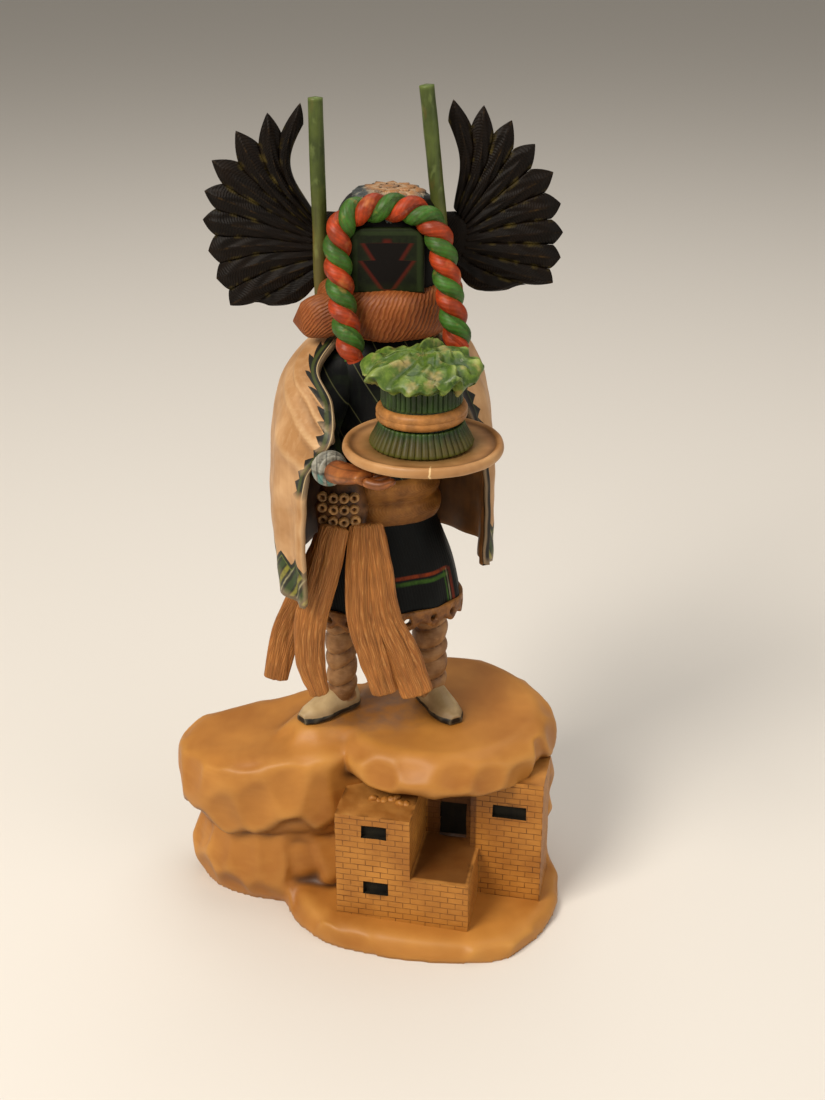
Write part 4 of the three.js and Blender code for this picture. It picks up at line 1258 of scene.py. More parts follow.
def scattered(name: str, points: Array, facing: Array, grid: Array, finish: Finish, origin: Array,
              smallest: float) -> Piece:
    """Sets copies of a small part on points.

    Args:
        name: The object's name.
        points: Where each copy goes, in millimetres.
        facing: The way that each copy's x axis looks.
        grid: The part's points in millimetres, each row closed.
        finish: The copies' finish.
        origin: Where the points' zero stands in the frame.
        smallest: The smallest copy's share of full size.

    Returns:
        The copies as one object.
    """
    part = carved("pattern_part", [grid], finish, np.zeros(3))
    mesh = bpy.data.meshes.new(name)
    mesh.from_pydata((points * MM + origin).tolist(), [], [])
    mesh.attributes.new("facing", "FLOAT_VECTOR", "POINT").data.foreach_set("vector", facing.ravel().astype(np.float32))
    sizes = {"Piece": part, "Smallest": smallest, "Finish": finish.material()}
    made = grown(placed(name, mesh), "parts_on_points", scatter_nodes, sizes)
    bpy.data.objects.remove(part)
    close_mesh(made.data)
    return made


# The rock and the pueblo

@dataclass
class Boulder:
    """A carved boulder: a plan outline stacked at heights, each drawn in.

    Attributes:
        outline: The plan in millimetres.
        levels: Height and inset of each level.
        facets: Flats round it.
        roughness: Depth of the flats as a share of the radius.
        slope: Rise of its top per millimetre to the right.
        phase: Turns the flats round it.
    """

    outline: Points
    levels: Points
    facets: int = 7
    roughness: float = 0.012
    slope: float = 0.0
    phase: float = 0.0

    def grid(self, sides: int = 132, rows: int = 42) -> Array:
        """Works out the boulder's surface.

        Args:
            sides: Steps round it.
            rows: Steps up it.

        Returns:
            Its rows of points.
        """
        plan = smooth_line([[x, y, 0] for x, y in self.outline], sides + 1, True)
        middle = plan[:-1].mean(0)
        arm = plan - middle
        length = np.linalg.norm(arm, axis=1)
        angle = circle(sides)
        step = np.linspace(0, len(self.levels) - 1, rows + 1)
        stack = smooth_line(self.levels, step / (len(self.levels) - 1))
        stack[:, 0] = np.maximum.accumulate(stack[:, 0])
        grid = np.empty((rows + 1, sides + 1, 3))
        for i, (level, (height, inset)) in enumerate(zip(step, stack)):
            facet = np.abs(np.sin(self.facets * angle / 2 + self.phase + level * 0.35)) - 0.6
            reach = 1 - inset / length - min(level, 1) * self.roughness * facet
            grid[i] = middle + arm * reach[:, None]
            tilt = min(max(level - (len(self.levels) - 1) / 2, 0), 1) * self.slope
            grid[i, :, 2] = np.maximum(height + tilt * (grid[i, :, 0] - middle[0]), 0)
        return grid


# Plan, then height and inset of each level, on the rock's own plan.
BOULDERS = {
    "upper_tier": Boulder(
        [[-57, -6], [-56, 5], [-47, 12], [-31, 15], [-10, 17], [6, 8], [2, -14], [-9, -24], [-26, -26], [-43, -23],
         [-53, -15]],
        [[22, 9], [24.2, 2.6], [28, 0.8], [37, 0], [45.4, 0.7], [49.4, 2.4], [50.5, 6]], 9, slope=0.17, phase=0.6),
    "lower_tier": Boulder(
        [[-53, -4], [-50, 6], [-36, 12], [-16, 15], [6, 8], [4, -16], [-12, -22], [-28, -23], [-43, -18], [-50, -12]],
        [[0, 1.2], [4, 0], [12, -0.8], [19, 0.6], [23, 3], [26, 7]], 11, phase=1.4),
    "slab": Boulder(
        [[-9.5, -17], [-5, -26], [6, -33], [19, -36], [33, -33], [46, -24], [53, -11], [52.6, 4], [47, 17], [37, 27],
         [22, 31], [8, 27], [-3, 14], [-9, -2]],
        [[42, 12], [43.8, 4], [46, 0.6], [50, 0.3], [54, 2.2], [56.6, 5.6], [57, 10]], 5, 0.01, phase=0.3),
    "core": Boulder(
        [[53, -8], [51, 6], [41, 19], [22, 26], [2, 22], [-12, 12], [-10, -10], [8, -22], [34, -22], [48, -17]],
        [[0, 0], [9, 0.4], [15, 2], [21, 0.2], [28, 1.8], [36, 0], [46, 4]], 8, 0.02, phase=2.1),
    "ledge": Boulder(
        [[-26, -22], [-15, -40], [2, -47], [20, -50], [37, -49], [50, -36], [55.5, -20], [54, -4], [30, 6], [0, 4],
         [-22, 0]],
        [[0, 0], [3.2, 0.4], [5.4, 1.6], [6.4, 5]], 10, 0.008, slope=-0.03),
    "step": Boulder(
        [[-26, -11], [-21, -19], [-10, -20], [8, -19], [14, -10], [12, 2], [0, 5], [-12, 4], [-22, -3]],
        [[46, -4], [50.4, -2.2], [53.4, 0.4], [55.6, 2.6], [57, 4.8]], 6, 0.02),
}


@dataclass
class Pueblo:
    """The carved village in front of the rock, in its own turned frame.

    Attributes:
        corner: Where its front left corner stands on the rock's plan.
        turn: Its turn in degrees.
        block: Width and height of the tall left block.
        terrace: Width and height of the low block before the court.
        rear: Width of the rear house, and its front wall's place inward.
        court: How far inward the court's back wall stands.
        depth: How far inward the houses go.
        window: Width and height of a window.
        rear_window: Width of the rear house's window.
        door: Width and height of the doorway.
        recess: Depth of the openings.
    """

    corner: Pair = (-9.7, -36.0)
    turn: float = -11.5
    block: Pair = (21.3, 41.0)
    terrace: Pair = (16.6, 21.5)
    rear: Pair = (20.7, 18.7)
    court: float = 24.0
    depth: float = 34.0
    window: Pair = (7.2, 4.2)
    rear_window: float = 9.7
    door: Pair = (7.8, 12.5)
    recess: float = 1.6

    @property
    def rear_left(self) -> float:
        """Where the rear house's left edge stands, just behind the terrace."""
        return self.block[0] + self.terrace[0] - 2.6

    def place(self, points: Array) -> Array:
        """Turns points of the pueblo's frame into the rock's, in millimetres.

        Args:
            points: The points.

        Returns:
            The same points in the rock's frame.
        """
        angle = math.radians(self.turn)
        cos, sin = math.cos(angle), math.sin(angle)
        x, y, z = points[..., 0], points[..., 1], points[..., 2]
        return np.stack([x * cos - y * sin + self.corner[0], x * sin + y * cos + self.corner[1], z], -1)

    def brick(self, name: str, low: Row, high: Row) -> Piece:
        """Makes a box between two corners of the pueblo's frame.

        Args:
            name: The object's name.
            low: One corner.
            high: The opposite corner.

        Returns:
            The box.
        """
        mesh = bpy.data.meshes.new(name)
        work = bmesh.new()
        bmesh.ops.create_cube(work, size=1.0)
        low, high = np.array(low, float), np.array(high, float)
        for vert in work.verts:
            spot = low + (np.array(vert.co) + 0.5) * (high - low)
            vert.co = Vector(self.place(spot) * MM + ROCK)
        bmesh.ops.recalc_face_normals(work, faces=work.faces)
        work.to_mesh(mesh)
        work.free()
        return placed(name, mesh)

    def openings(self) -> list[tuple[float, ...]]:
        """Lists each opening as middle u, wall v, middle z, width and height.

        Returns:
            One row for each opening.
        """
        sill = self.block[1] - 5
        return [
            (self.block[0] * 0.52, 0, sill, *self.window),
            (self.block[0] * 0.54, 0, self.terrace[1] - 4.4, *self.window),
            (self.rear_left + self.rear[0] * 0.54, self.rear[1], sill - 1, self.rear_window, self.window[1]),
            (self.rear_left - self.door[0] / 2 - 2.0, self.court, self.terrace[1] + self.door[1] / 2 - 1.4, *self.door),
        ]

    def build(self) -> Piece:
        """Builds the walls with their openings, bevels and brick map.

        Returns:
            The finished piece.
        """
        top = self.block[1] + 4
        walls = self.brick("pueblo", (0, 0, 1), (self.block[0], self.depth, self.block[1]))
        worked(walls, [
            self.brick("terrace", (0.5, 0, 1), (self.block[0] + self.terrace[0], self.depth + 0.3, self.terrace[1])),
            self.brick("door_wall", (self.block[0] - 1, self.court, 1.3),
                       (self.block[0] + 15.6, self.depth + 0.5, top)),
            self.brick("rear", (self.rear_left, self.rear[1], 1.5),
                       (self.rear_left + self.rear[0], self.depth + 0.9, top + 0.1)),
        ], Cut.TOGETHER)
        worked(walls, [
            self.brick("opening", (u - w / 2, v - 1, z - h / 2), (u + w / 2, v + self.recess, z + h / 2))
            for u, v, z, w, h in self.openings()
        ], Cut.AWAY)
        edge = walls.modifiers.new("edge", "BEVEL")
        edge.width = 0.35 * MM
        edge.segments = 2
        edge.limit_method = "ANGLE"
        settled(walls)
        self.chisel(walls)
        self.dress(walls)
        return walls

    def chisel(self, walls: Piece) -> None:
        """Divides the walls and lets them waver a little, as hand carving does.

        Args:
            walls: The walls.
        """
        work = bmesh.new()
        work.from_mesh(walls.data)
        for _ in range(4):
            long = [edge for edge in work.edges if edge.calc_length() > 2.6 * MM]
            if long:
                bmesh.ops.subdivide_edges(work, edges=long, cuts=1, use_grid_fill=True)
                bmesh.ops.triangulate(work, faces=[face for face in work.faces if len(face.verts) > 4])
        work.to_mesh(walls.data)
        work.free()
        points = mesh_points(walls.data)
        local = (points - ROCK) / MM
        wave = np.stack([ripple(local, 5.0, 60 + k) for k in range(3)], 1)
        points += wave * np.array([0.1, 0.1, 0.08]) * MM
        move_points(walls.data, points)

    def dress(self, walls: Piece) -> None:
        """Gives the walls their map and each face its finish.

        Args:
            walls: The walls.
        """
        mesh = walls.data
        mesh.materials.clear()
        for finish in (ADOBE, ROOF, OPENING):
            mesh.materials.append(finish.material())
        uv = mesh.uv_layers.new(name="Millimetres").data
        angle = math.radians(self.turn)
        across, inward = Vector((math.cos(angle), math.sin(angle), 0)), Vector((-math.sin(angle), math.cos(angle), 0))
        origin = Vector(ROCK) + Vector((self.corner[0], self.corner[1], 0)) * MM
        openings = self.openings()
        for face in mesh.polygons:
            face.use_smooth = False
            front = abs(face.normal.dot(inward)) > abs(face.normal.dot(across))
            spot = (face.center - origin) / MM
            u, v = spot.dot(across), spot.dot(inward)
            for index in face.loop_indices:
                local = (mesh.vertices[mesh.loops[index].vertex_index].co - origin) / MM
                side = local.dot(across) if front else local.dot(inward) + 1.7
                uv[index].uv = (side, local.z)
            inside = any(
                abs(u - at_u) < w / 2 + 0.1 and abs(spot.z - z) < h / 2 + 0.1
                and wall + 0.7 < v < wall + self.recess + 0.2
                for at_u, wall, z, w, h in openings
            )
            face.material_index = 2 if inside else 1 if face.normal.z > 0.7 else 0


@dataclass
class RockBase:
    """The carved rock with its ledge, slab and pueblo, one piece.

    Attributes:
        voxel: Grain of the carved surface in millimetres.
        flat: Distance between the carver's flats in millimetres.
        scoop: The most that a flat moves the surface, in millimetres.
        ridge: Softness of the ridges between flats in millimetres.
        dish: How hollow each flat is in millimetres.
        tall: Weight of each axis between flats, low where flats run long.
        tries: Points that are tried as the middle of a flat.
        foot: Height over which the flats fade out towards the floor.
        crevice: The most that a hollow is deepened, in millimetres.
    """

    voxel: float = 0.95
    flat: float = 8.0
    scoop: float = 1.5
    ridge: float = 0.6
    dish: float = 0.55
    tall: Triple = (1.0, 1.0, 0.55)
    tries: int = 6000
    foot: float = 5.0
    crevice: float = 0.45

    def build(self) -> Piece:
        """Builds the whole base.

        Returns:
            The finished piece.
        """
        rock = carved("rock_base_carved", [boulder.grid() for boulder in BOULDERS.values()], STONE, ROCK)
        skin = rock.modifiers.new("skin", "REMESH")
        skin.mode = "VOXEL"
        skin.voxel_size = self.voxel * MM
        settled(rock)
        self.carve(rock)
        pueblo = Pueblo()
        court = pueblo.brick("court", (pueblo.block[0] - 0.8, -6, pueblo.terrace[1] - 0.8),
                             (pueblo.block[0] + 14.8, pueblo.court + 2.6, pueblo.block[1] + 1.5))
        worked(rock, [court], Cut.AWAY)
        coated(rock, STONE)
        rock.data.uv_layers.new(name="Millimetres")
        mark_relief(rock, 30, 2)
        self.mark_hollows(rock.data)
        walls = mark_relief(pueblo.build(), 3)
        return joined("rock_base_carving", [rock, walls, self.roof_stones(pueblo)])

    def mark_hollows(self, mesh: Mesh) -> None:
        """Stores where the rock looks down and where it lies deep between its tiers, for the shade painted there.

        Args:
            mesh: The mesh.
        """
        points, normals = mesh_points(mesh), mesh_normals(mesh)
        store(mesh, "under", np.clip(-1.3 * normals[:, 2], 0, 1))
        sunk = ((relaxed(mesh, points, 120) - points) * normals).sum(1) / MM
        store(mesh, "deep", np.clip((sunk - 0.6) / 1.1, 0, 1))

    def carve(self, rock: Piece) -> None:
        """Cuts soft flats into the rock's sides and levels its foot and its top.

        Args:
            rock: The rock.
        """
        mesh = rock.data
        points = relaxed(mesh, mesh_points(mesh), 5)
        move_points(mesh, points)
        normals = mesh_normals(mesh)
        moved = self.flats(mesh, points, normals)
        level = np.clip((normals[:, 2] - 0.55) * 3, 0, 0.9)
        level = np.maximum(level, 1 - np.clip((points[:, 2] - ROCK[2]) / (self.foot * MM), 0, 1))
        limit = self.scoop * MM / np.maximum(np.linalg.norm(moved, axis=1), 1e-9)
        points += moved * (np.minimum(limit, 1) * (1 - level))[:, None]
        local = (points - ROCK) / MM
        points += normals * (0.12 * ripple(local, 7.0, 8) * (1 - level))[:, None] * MM
        points = relaxed(mesh, points, 2)
        away = relaxed(mesh, (points - relaxed(mesh, points, 40)) * normals, 8).sum(1)
        points += normals * np.clip(away + 0.2 * MM, -self.crevice * MM, 0)[:, None]
        points = relaxed(mesh, points, 1)
        points[:, 2] = np.clip(points[:, 2], ROCK[2], ROCK[2] + (STAND_HEIGHT - GAP) * MM)
        points[points[:, 2] < ROCK[2] + 0.7 * MM, 2] = ROCK[2]
        move_points(mesh, points)

    def flats(self, mesh: Mesh, points: Array, normals: Array) -> Array:
        """Works out how the carver's flats move each point.

        Args:
            mesh: The rock's mesh.
            points: Its points.
            normals: The outward direction at each point.

        Returns:
            A move for each point, in metres.
        """
        seeds = self.spread(points, np.random.default_rng(9))
        planes = unit(relaxed(mesh, normals, 12)[seeds])
        tree = kdtree.KDTree(len(seeds))
        for i, seed in enumerate(seeds):
            tree.insert(points[seed] * self.tall, i)
        tree.balance()
        moved = np.zeros_like(points)
        for i, point in enumerate(points):
            near = tree.find_n(point * self.tall, 3)
            first = near[0][2]
            dip = self.dish * MM * max(0.0, 1 - (first / (0.62 * self.flat * MM)) ** 2)
            total, weight = np.zeros(3), 0.0
            for _, which, reach in near:
                share = math.exp(-((reach - first) / (self.ridge * MM)))
                plane = planes[which]
                total += share * plane * (np.dot(points[seeds[which]] - point, plane) - dip)
                weight += share
            moved[i] = total / weight
        return moved

    def spread(self, points: Array, random: np.random.Generator) -> Array:
        """Picks points that stand at least one flat's width apart.

        Args:
            points: The points.
            random: Draws the points.

        Returns:
            The chosen points' numbers.
        """
        chosen: list[int] = []
        for i in random.permutation(len(points))[:self.tries]:
            if all(np.sum(((points[i] - points[k]) * self.tall) ** 2) > (self.flat * MM) ** 2 for k in chosen):
                chosen.append(int(i))
        return np.array(chosen)

    def roof_stones(self, pueblo: Pueblo) -> Piece:
        """Sets small rough lumps along the back of the left block's roof.

        Args:
            pueblo: The village that they lie on.

        Returns:
            The lumps as one object.
        """
        random = np.random.default_rng(12)
        grid = np.stack([level_ring((0, 0, 1.1 * math.sin(t)), 1.7 * math.cos(t), 1.3 * math.cos(t), 10)
                         for t in np.linspace(-1.5, 1.5, 7)])
        grid += 0.3 * ripple(grid, 1.3, 3)[..., None]
        spots = np.array([[9.0 + 1.6 * i, 9.0 + random.uniform(-0.6, 2.0), pueblo.block[1] + random.uniform(-0.2, 0.5)]
                          for i in range(7)])
        facing = round_axis(1, spots[:, 0] * 7, 0)
        return mark_relief(scattered("roof_stones", pueblo.place(spots), facing, grid, STONE, ROCK, 0.45), 2)


# The doll

# Height, half width and half depth of the dress and the upper body.
DRESS_ROWS = [
    [31, 21.2, 14.4], [38, 20.2, 13.8], [46, 18.4, 12.6], [54, 15.6, 11.2], [62, 13, 10.2], [74, 12.6, 10],
    [92, 15.4, 12.4], [103, 17, 13], [109, 14.6, 11.4], [113, 10, 9], [122, 7.5, 7],
]
# Lines down the cape from neck to hem, from its left front edge round the back.
CAPE_LINES = [
    [[-13, -9, 112.5], [-17, -16, 107], [-13, -26, 100.6], [-13, -35.6, 94], [-19.4, -35, 84], [-21.4, -32, 66],
     [-21.4, -30.5, 45]],
    [[-13, -7, 113.5], [-19.4, -14, 107.6], [-19, -24.4, 100.6], [-22.6, -30, 92], [-25.6, -28.6, 82],
     [-26.8, -26, 66], [-26, -25, 45.5]],
    [[-12, -3, 114.5], [-21, -8, 109.6], [-26, -13, 102.6], [-28.6, -16, 94], [-30.2, -17, 80], [-30.6, -16, 64],
     [-29.6, -14.5, 46]],
    [[-9, 2, 114.5], [-17.5, 4, 111], [-24.4, 5, 103], [-28, 4, 91], [-29, 3, 77], [-28.6, 3, 62], [-27.6, 3, 47]],
    [[-4, 7, 115], [-9, 11.5, 112], [-12.6, 15, 104], [-15, 17, 91], [-15.6, 17.6, 77], [-15.6, 18, 62],
     [-15.4, 18, 47.5]],
    [[6, 8, 115], [9, 12.5, 112], [11.6, 16.5, 104], [13.4, 19, 91], [14, 20, 77], [14, 20.4, 62], [14, 20.4, 48]],
    [[12, 3, 114.5], [18.6, 7, 111], [23.4, 9.4, 103], [25.8, 10.6, 91], [26.4, 11, 77], [26.4, 11, 62], [26, 11, 48]],
    [[13, -5, 113.5], [20, -3.4, 110], [24.8, -4, 103], [27.4, -5, 94], [28.4, -5.4, 80], [28.4, -5.4, 64],
     [28, -5, 48.6]],
    [[14, -8, 113], [20, -10.6, 108], [23.4, -14, 100.6], [26.2, -16, 91], [27.6, -15.8, 80], [28, -15, 66],
     [27.8, -14.4, 51]],
    [[13.6, -9.6, 112], [17.8, -14.4, 106.6], [20, -18.4, 99.4], [23.6, -20, 91.4], [26, -19.6, 81],
     [26.8, -18.4, 66], [26.6, -18, 52]],
]


class Part(Enum):
    """The finishes of the doll's carving, in the order of its slots."""

    CAPE = CAPE
    LINING = CAPE_INSIDE
    DRESS = DRESS
    CHEST = CHEST
    LACE = LACE
    BELT = BELT
    SASH = SASH
    LEGGING = LEGGING
    BOOT = BOOT
    HAND = HAND
    BRACELET = BRACELET
    RUFF = RUFF
    MASK = MASK
    PANEL = PANEL

    @property
    def slot(self) -> int:
        """The finish's number in the mesh."""
        return list(Part).index(self)


@dataclass
class Figure:
    """The doll itself, carved in one with its cape, dress and mask.

    Attributes:
        cape_wall: The cape's thickness in millimetres.
        eyelets: Holes round the lace edge.
        eyelet: Their diameter.
        hem_wall: The lace edge's thickness.
        hem_depth: The hollow's depth behind the lace edge.
        mask_middle: The mask's middle across and along.
        mask_size: The mask's half width and half depth.
        form: Takes the surfaces of its body.
    """

    cape_wall: float = 1.9
    eyelets: int = 17
    eyelet: float = 2.3
    hem_wall: float = 1.5
    hem_depth: float = 3.4
    mask_middle: Pair = (1.0, -0.6)
    mask_size: Pair = (13.9, 13.2)
    form: Form = field(default_factory=Form)

    def build(self) -> Piece:
        """Builds every part of the carving and joins them in one piece.

        Returns:
            The finished piece.
        """
        self.legs()
        self.boots()
        self.dress()
        self.belt()
        self.fringes()
        self.cape()
        self.arms()
        self.ruff()
        self.mask()
        body = self.form.build("figure_body", [part.value for part in Part], DOLL)
        parts = [body, self.lace(), *self.sash_rings(), self.crown()]
        return joined("figure_carving", [mark_relief(part) for part in parts])

    def legs(self) -> None:
        """Winds the leg wraps: six rolls, each a little slanted."""
        angle = circle(44)
        for x, y, radius, lean in ((-13.4, -4.6, 4.1, 1.5), (12, -1.4, 4.6, 1.2)):
            rings = []
            for height in np.linspace(3.4, 37, 80):
                slant = height - lean * np.cos(angle) - 0.5 * lean * np.sin(angle) + 0.5 * math.sin(height * 0.7)
                roll = np.abs(np.sin(math.pi * (slant - 4) / 5.5)) ** 0.6
                size = radius * (0.84 + 0.24 * roll) * (1 + 0.08 * (height - 4) / 33)
                rings.append(round_axis(size, angle, height) + (x, y, 0))
            self.form.tube(np.array(rings), Part.LEGGING.slot)

    def boots(self) -> None:
        """Carves the boots on their flat soles."""
        section = [[1, 0.0], [1.08, 0.22], [0.94, 0.55], [0.5, 0.93], [0, 1], [-0.5, 0.93], [-0.94, 0.55],
                   [-1.08, 0.22], [-1, 0]]
        upper = smooth_line(section, 33)
        marks = [0, 0.06, 0.22, 0.42, 0.66, 0.88, 1]
        shares = np.concatenate([[0.0, 0.01, 0.03], np.linspace(0.06, 0.94, 34), [0.975, 0.992, 1.0]])
        for heel, toe in (((-9.6, -1.2), (-24.8, -13.8)), ((10.2, 2.8), (19.4, -14.6))):
            widths, heights = (
                np.convolve(np.pad(np.interp(shares, marks, row), 2, "edge"), [0.1, 0.2, 0.4, 0.2, 0.1], "valid")
                for row in ([0.45, 0.78, 0.9, 0.86, 1, 0.82, 0.42], [5, 7.6, 8.6, 7.4, 5.4, 4, 2.6]))
            start, end = np.array([*heel, 0.0]), np.array([*toe, 0.0])
            ahead = end - start
            side = unit(np.cross(ahead, UP))
            rings = []
            for share, wide, high in zip(shares, widths, heights):
                half = 8.4 * wide / 2
                across = np.concatenate([upper[:, 0] * half, np.linspace(-half, half, 9)[1:]])
                up = np.concatenate([np.maximum(upper[:, 1] * high, 0), np.zeros(8)])
                lip = np.concatenate([1 + 0.05 * (np.abs(up[:33] - 0.9) < 0.9), np.ones(8)])
                spot = start + ahead * share + side * (across * lip)[:, None]
                spot[:, 2] = up
                rings.append(spot)
            self.form.tube(np.array(rings), Part.BOOT.slot)

    def dress_rings(self, heights: Array, grow: float | Array = 0.0, sides: int = 150) -> Array:
        """Works out the dress at heights, drawn out or in by an amount.

        Args:
            heights: Heights in millimetres.
            grow: How far out it's drawn, one for all or for each.
            sides: Steps round it.

        Returns:
            A ring of points for each height.
        """
        rows = np.array(DRESS_ROWS)
        fine = smooth_line(rows, 400)
        grow = np.broadcast_to(grow, heights.shape)
        return np.array([
            level_ring((0, 0, h), np.interp(h, fine[:, 0], fine[:, 1]) + g, np.interp(h, fine[:, 0], fine[:, 2]) + g,
                       sides, TURN, 2.2)
            for h, g in zip(heights, grow)
        ])

    def dress(self) -> None:
        """Models the dress with soft folds over its hem, and the dark upper body."""
        heights = np.linspace(DRESS_ROWS[0][0] + self.hem_depth, 122, 68)
        grid = self.dress_rings(heights)
        angle = circle(grid.shape[1] - 1)
        low = np.clip((60 - heights) / 28, 0, 1)[:, None]
        fold = 0.45 * low * np.sin(11 * angle + 0.6)[None]
        high = np.clip((heights - 84) / 10, 0, 1)[:, None] * np.clip((112 - heights) / 6, 0, 1)[:, None]
        crease = 0.7 * high * (np.abs(np.sin(3.5 * angle[None] + heights[:, None] * 0.16)) - 0.5)
        away = unit(grid * (1, 1, 0))
        grid = grid + away * (fold + crease)[..., None]
        front = math.radians(-38) % (2 * math.pi)
        uv = arc_uv(grid)
        corner = np.interp(front, angle, np.arange(len(angle)))
        zero = np.array([np.interp(corner, np.arange(len(angle)), row) for row in uv[..., 0]])
        uv[..., 0] -= zero[:, None]
        uv[..., 1] = heights[:, None]
        middle = 0.5 * (heights[:-1] + heights[1:])[:, None] * np.ones((1, grid.shape[1] - 1))
        self.form.tube(grid, np.where(middle > 72, Part.CHEST.slot, Part.DRESS.slot), uv)

    def lace(self) -> Piece:
        """Carves the scalloped edge under the skirt and drills its eyelets.

        Returns:
            The edge.
        """
        base, sides = DRESS_ROWS[0][0], 6 * 2 * self.eyelets
        angle = circle(sides)
        scallop = 0.75 * self.eyelet * (0.5 + 0.5 * np.cos(self.eyelets * angle))
        rows = []
        for share, grow in ((0, 0.1), (0.02, 0.3), (0.3, 0.45), (0.6, 0.4), (0.97, 0.35), (1, 0.2),
                            (1, -self.hem_wall), (0.5, -self.hem_wall), (0, -self.hem_wall)):
            ring = self.dress_rings(np.array([base]), grow, sides)[0]
            ring[:, 2] = base - scallop * (1 - share) + (self.hem_depth + 0.5) * share
            rows.append(ring)
        form = Form()
        form.grid(np.array(rows + rows[:1]), 0)
        lace = form.build("lace_edge", [LACE], DOLL)
        ring = self.dress_rings(np.array([base]), 0.3, 2 * self.eyelets)[0][:-1:2]
        drills = []
        for spot in ring:
            hole = np.array([spot[0], spot[1], base + 1.1])
            inward = unit(np.array([0, 0, base + 1.1]) - hole)
            path = [hole - inward * 3, hole, hole + inward * 4]
            drills.append(sweep(path, [self.eyelet], [self.eyelet], 3, 14, UP, 0.01))
        worked(lace, [carved("drills", drills, LACE, DOLL)], Cut.AWAY)
        coated(lace, LACE)
        return lace

    def belt(self) -> None:
        """Wraps the belt in two soft ridges."""
        rows = [[60, -1.5], [60.2, 0.6], [61, 1.3], [63.4, 1.9], [65.8, 1.6], [67, 0.9], [68.4, 1.5], [70.6, 1.8],
                [72.4, 1.1], [73.4, -1.5]]
        fine = smooth_line(rows, 46)
        grid = np.array([level_ring((0, 0, h), 13 + g, 10.2 + g, 140, TURN, 2.2) for h, g in fine])
        grid += unit(grid * (1, 1, 0)) * (0.16 * ripple(grid, 3.2, 15))[..., None]
        self.form.tube(grid, Part.BELT.slot)

    def sash_rings(self) -> list[Piece]:
        """Ties the knot of the sash and sets its rows of pierced balls.

        Returns:
            The knot and the balls.
        """
        base = sweep([[-12.4, -12.6, 58], [-12, -13.4, 67], [-12, -12, 75]], [12, 14.5, 10], [8, 9, 7], 20, 40)
        knot = carved("sash_knot", [base], KNOT, DOLL)
        turn = circle(14)
        profile = np.array([[0.0, 0.4], [0.35, 0.55], [0.7, 0.95], [0.5, 1.35], [-0.2, 1.55], [-1.1, 1.2], [-1.7, 0.1]])
        ring = np.array([round_axis(r, turn, x) for x, r in profile])[..., [2, 0, 1]]
        ring[0, :, 0] -= 0.9
        random = np.random.default_rng(5)
        spots = np.array([[x, -18.3 + 0.05 * (x + 12.0) ** 2 + 0.1 * r, 64.9 + 3.3 * r]
                          for r in range(3) for x in (-17.0, -14.1, -11.2, -8.4)])
        spots += random.uniform(-0.2, 0.2, spots.shape)
        facing = unit(np.array([[0.05 * (c - 2), -1.0, 0.12] for _ in range(3) for c in range(4)]))
        return [knot, scattered("sash_balls", spots, facing, ring, RINGS, DOLL, 0.92)]

    def fringes(self) -> None:
        """Hangs the four long strands, each scored in ridges and frayed."""
        strands = [
            ([[-17, -11, 58], [-23, -12, 42], [-28.5, -12, 28], [-32, -12, 13]], [5, 7, 8.4, 7], 2.6),
            ([[-13.5, -18.5, 64], [-16.5, -20.5, 52], [-20.6, -22, 37], [-21, -22, 24], [-18.7, -21.5, 13.5]],
             [8, 9, 9, 8.4, 5.5], 3),
            ([[-6.5, -17.5, 64], [-6.6, -20, 52], [-6.4, -21.6, 38], [-3.6, -22.4, 26], [-0.4, -23, 14.5]],
             [7, 9, 9, 8.4, 7], 3),
            ([[-4, -17, 64], [-2.4, -20, 52], [-0.6, -21.4, 38], [4.4, -22, 26], [8.6, -22.8, 14]],
             [6, 8, 9, 10, 9], 3),
        ]
        for number, (points, widths, depth) in enumerate(strands):
            grid = sweep(points, widths, [depth], 64, 56, ends=1.0)
            across = np.cos(circle(grid.shape[1] - 1))
            lock = 0.14 * np.sin(9.5 * across + 1.3 * number) + 0.1 * np.sin(31 * across + number)
            grid = swollen(grid, lock[None] + 0.16 * ripple(grid * (1, 1, 0.12), 1.3, 70 + number))
            uv = np.stack([np.broadcast_to(across * 4.5, grid.shape[:2]), arc_uv(grid)[..., 1]], 2)
            self.form.tube(grid, Part.SASH.slot, uv)

    def cape(self) -> None:
        """Drapes the cape from the neck round the back, open at the front."""
        around, down = 150, 70
        u, v = np.linspace(0, 1, around + 1), np.linspace(0, 1, down + 1)
        lines = np.array([smooth_line(line, v) for line in CAPE_LINES])
        rings = np.array([smooth_line(lines[:, row], u) for row in range(down + 1)])
        grid_u, grid_v = np.meshgrid(u, v)
        core = np.stack([np.full(down + 1, 1.0), np.full(down + 1, -6.0), rings[:, 0, 2]], 1)[:, None]
        away = unit((rings - core) * (1, 1, 0))
        hold = np.clip(np.minimum(grid_u, 1 - grid_u) * 40, 0, 1)
        fold = 0.9 * grid_v * np.sin(45.5 * grid_u + 1.26 * grid_v)
        pull = np.zeros_like(grid_u)
        for start, lean, size in ((0.36, 0.9, 1.5), (0.45, 1.15, 1.9), (0.54, 1.0, 1.8), (0.64, 0.6, 1.3)):
            across = (grid_v - start + lean * grid_u) / 0.028
            pull += size * np.exp(-(across**2)) * np.clip(1 - grid_u / 0.3, 0, 1)
        chisel = 0.22 * ripple(rings, 5.0, 25)
        outer = rings + away * ((fold + pull) * hold + chisel)[..., None]
        down_way = np.gradient(outer, axis=0)
        across_way = np.gradient(outer, axis=1)
        inner = outer + unit(np.cross(down_way, across_way)) * self.cape_wall
        left = arc_uv(outer)[..., 0]
        edge = np.minimum(left, left[:, -1:] - left)
        fall = np.linalg.norm(np.diff(outer, axis=0), axis=2)
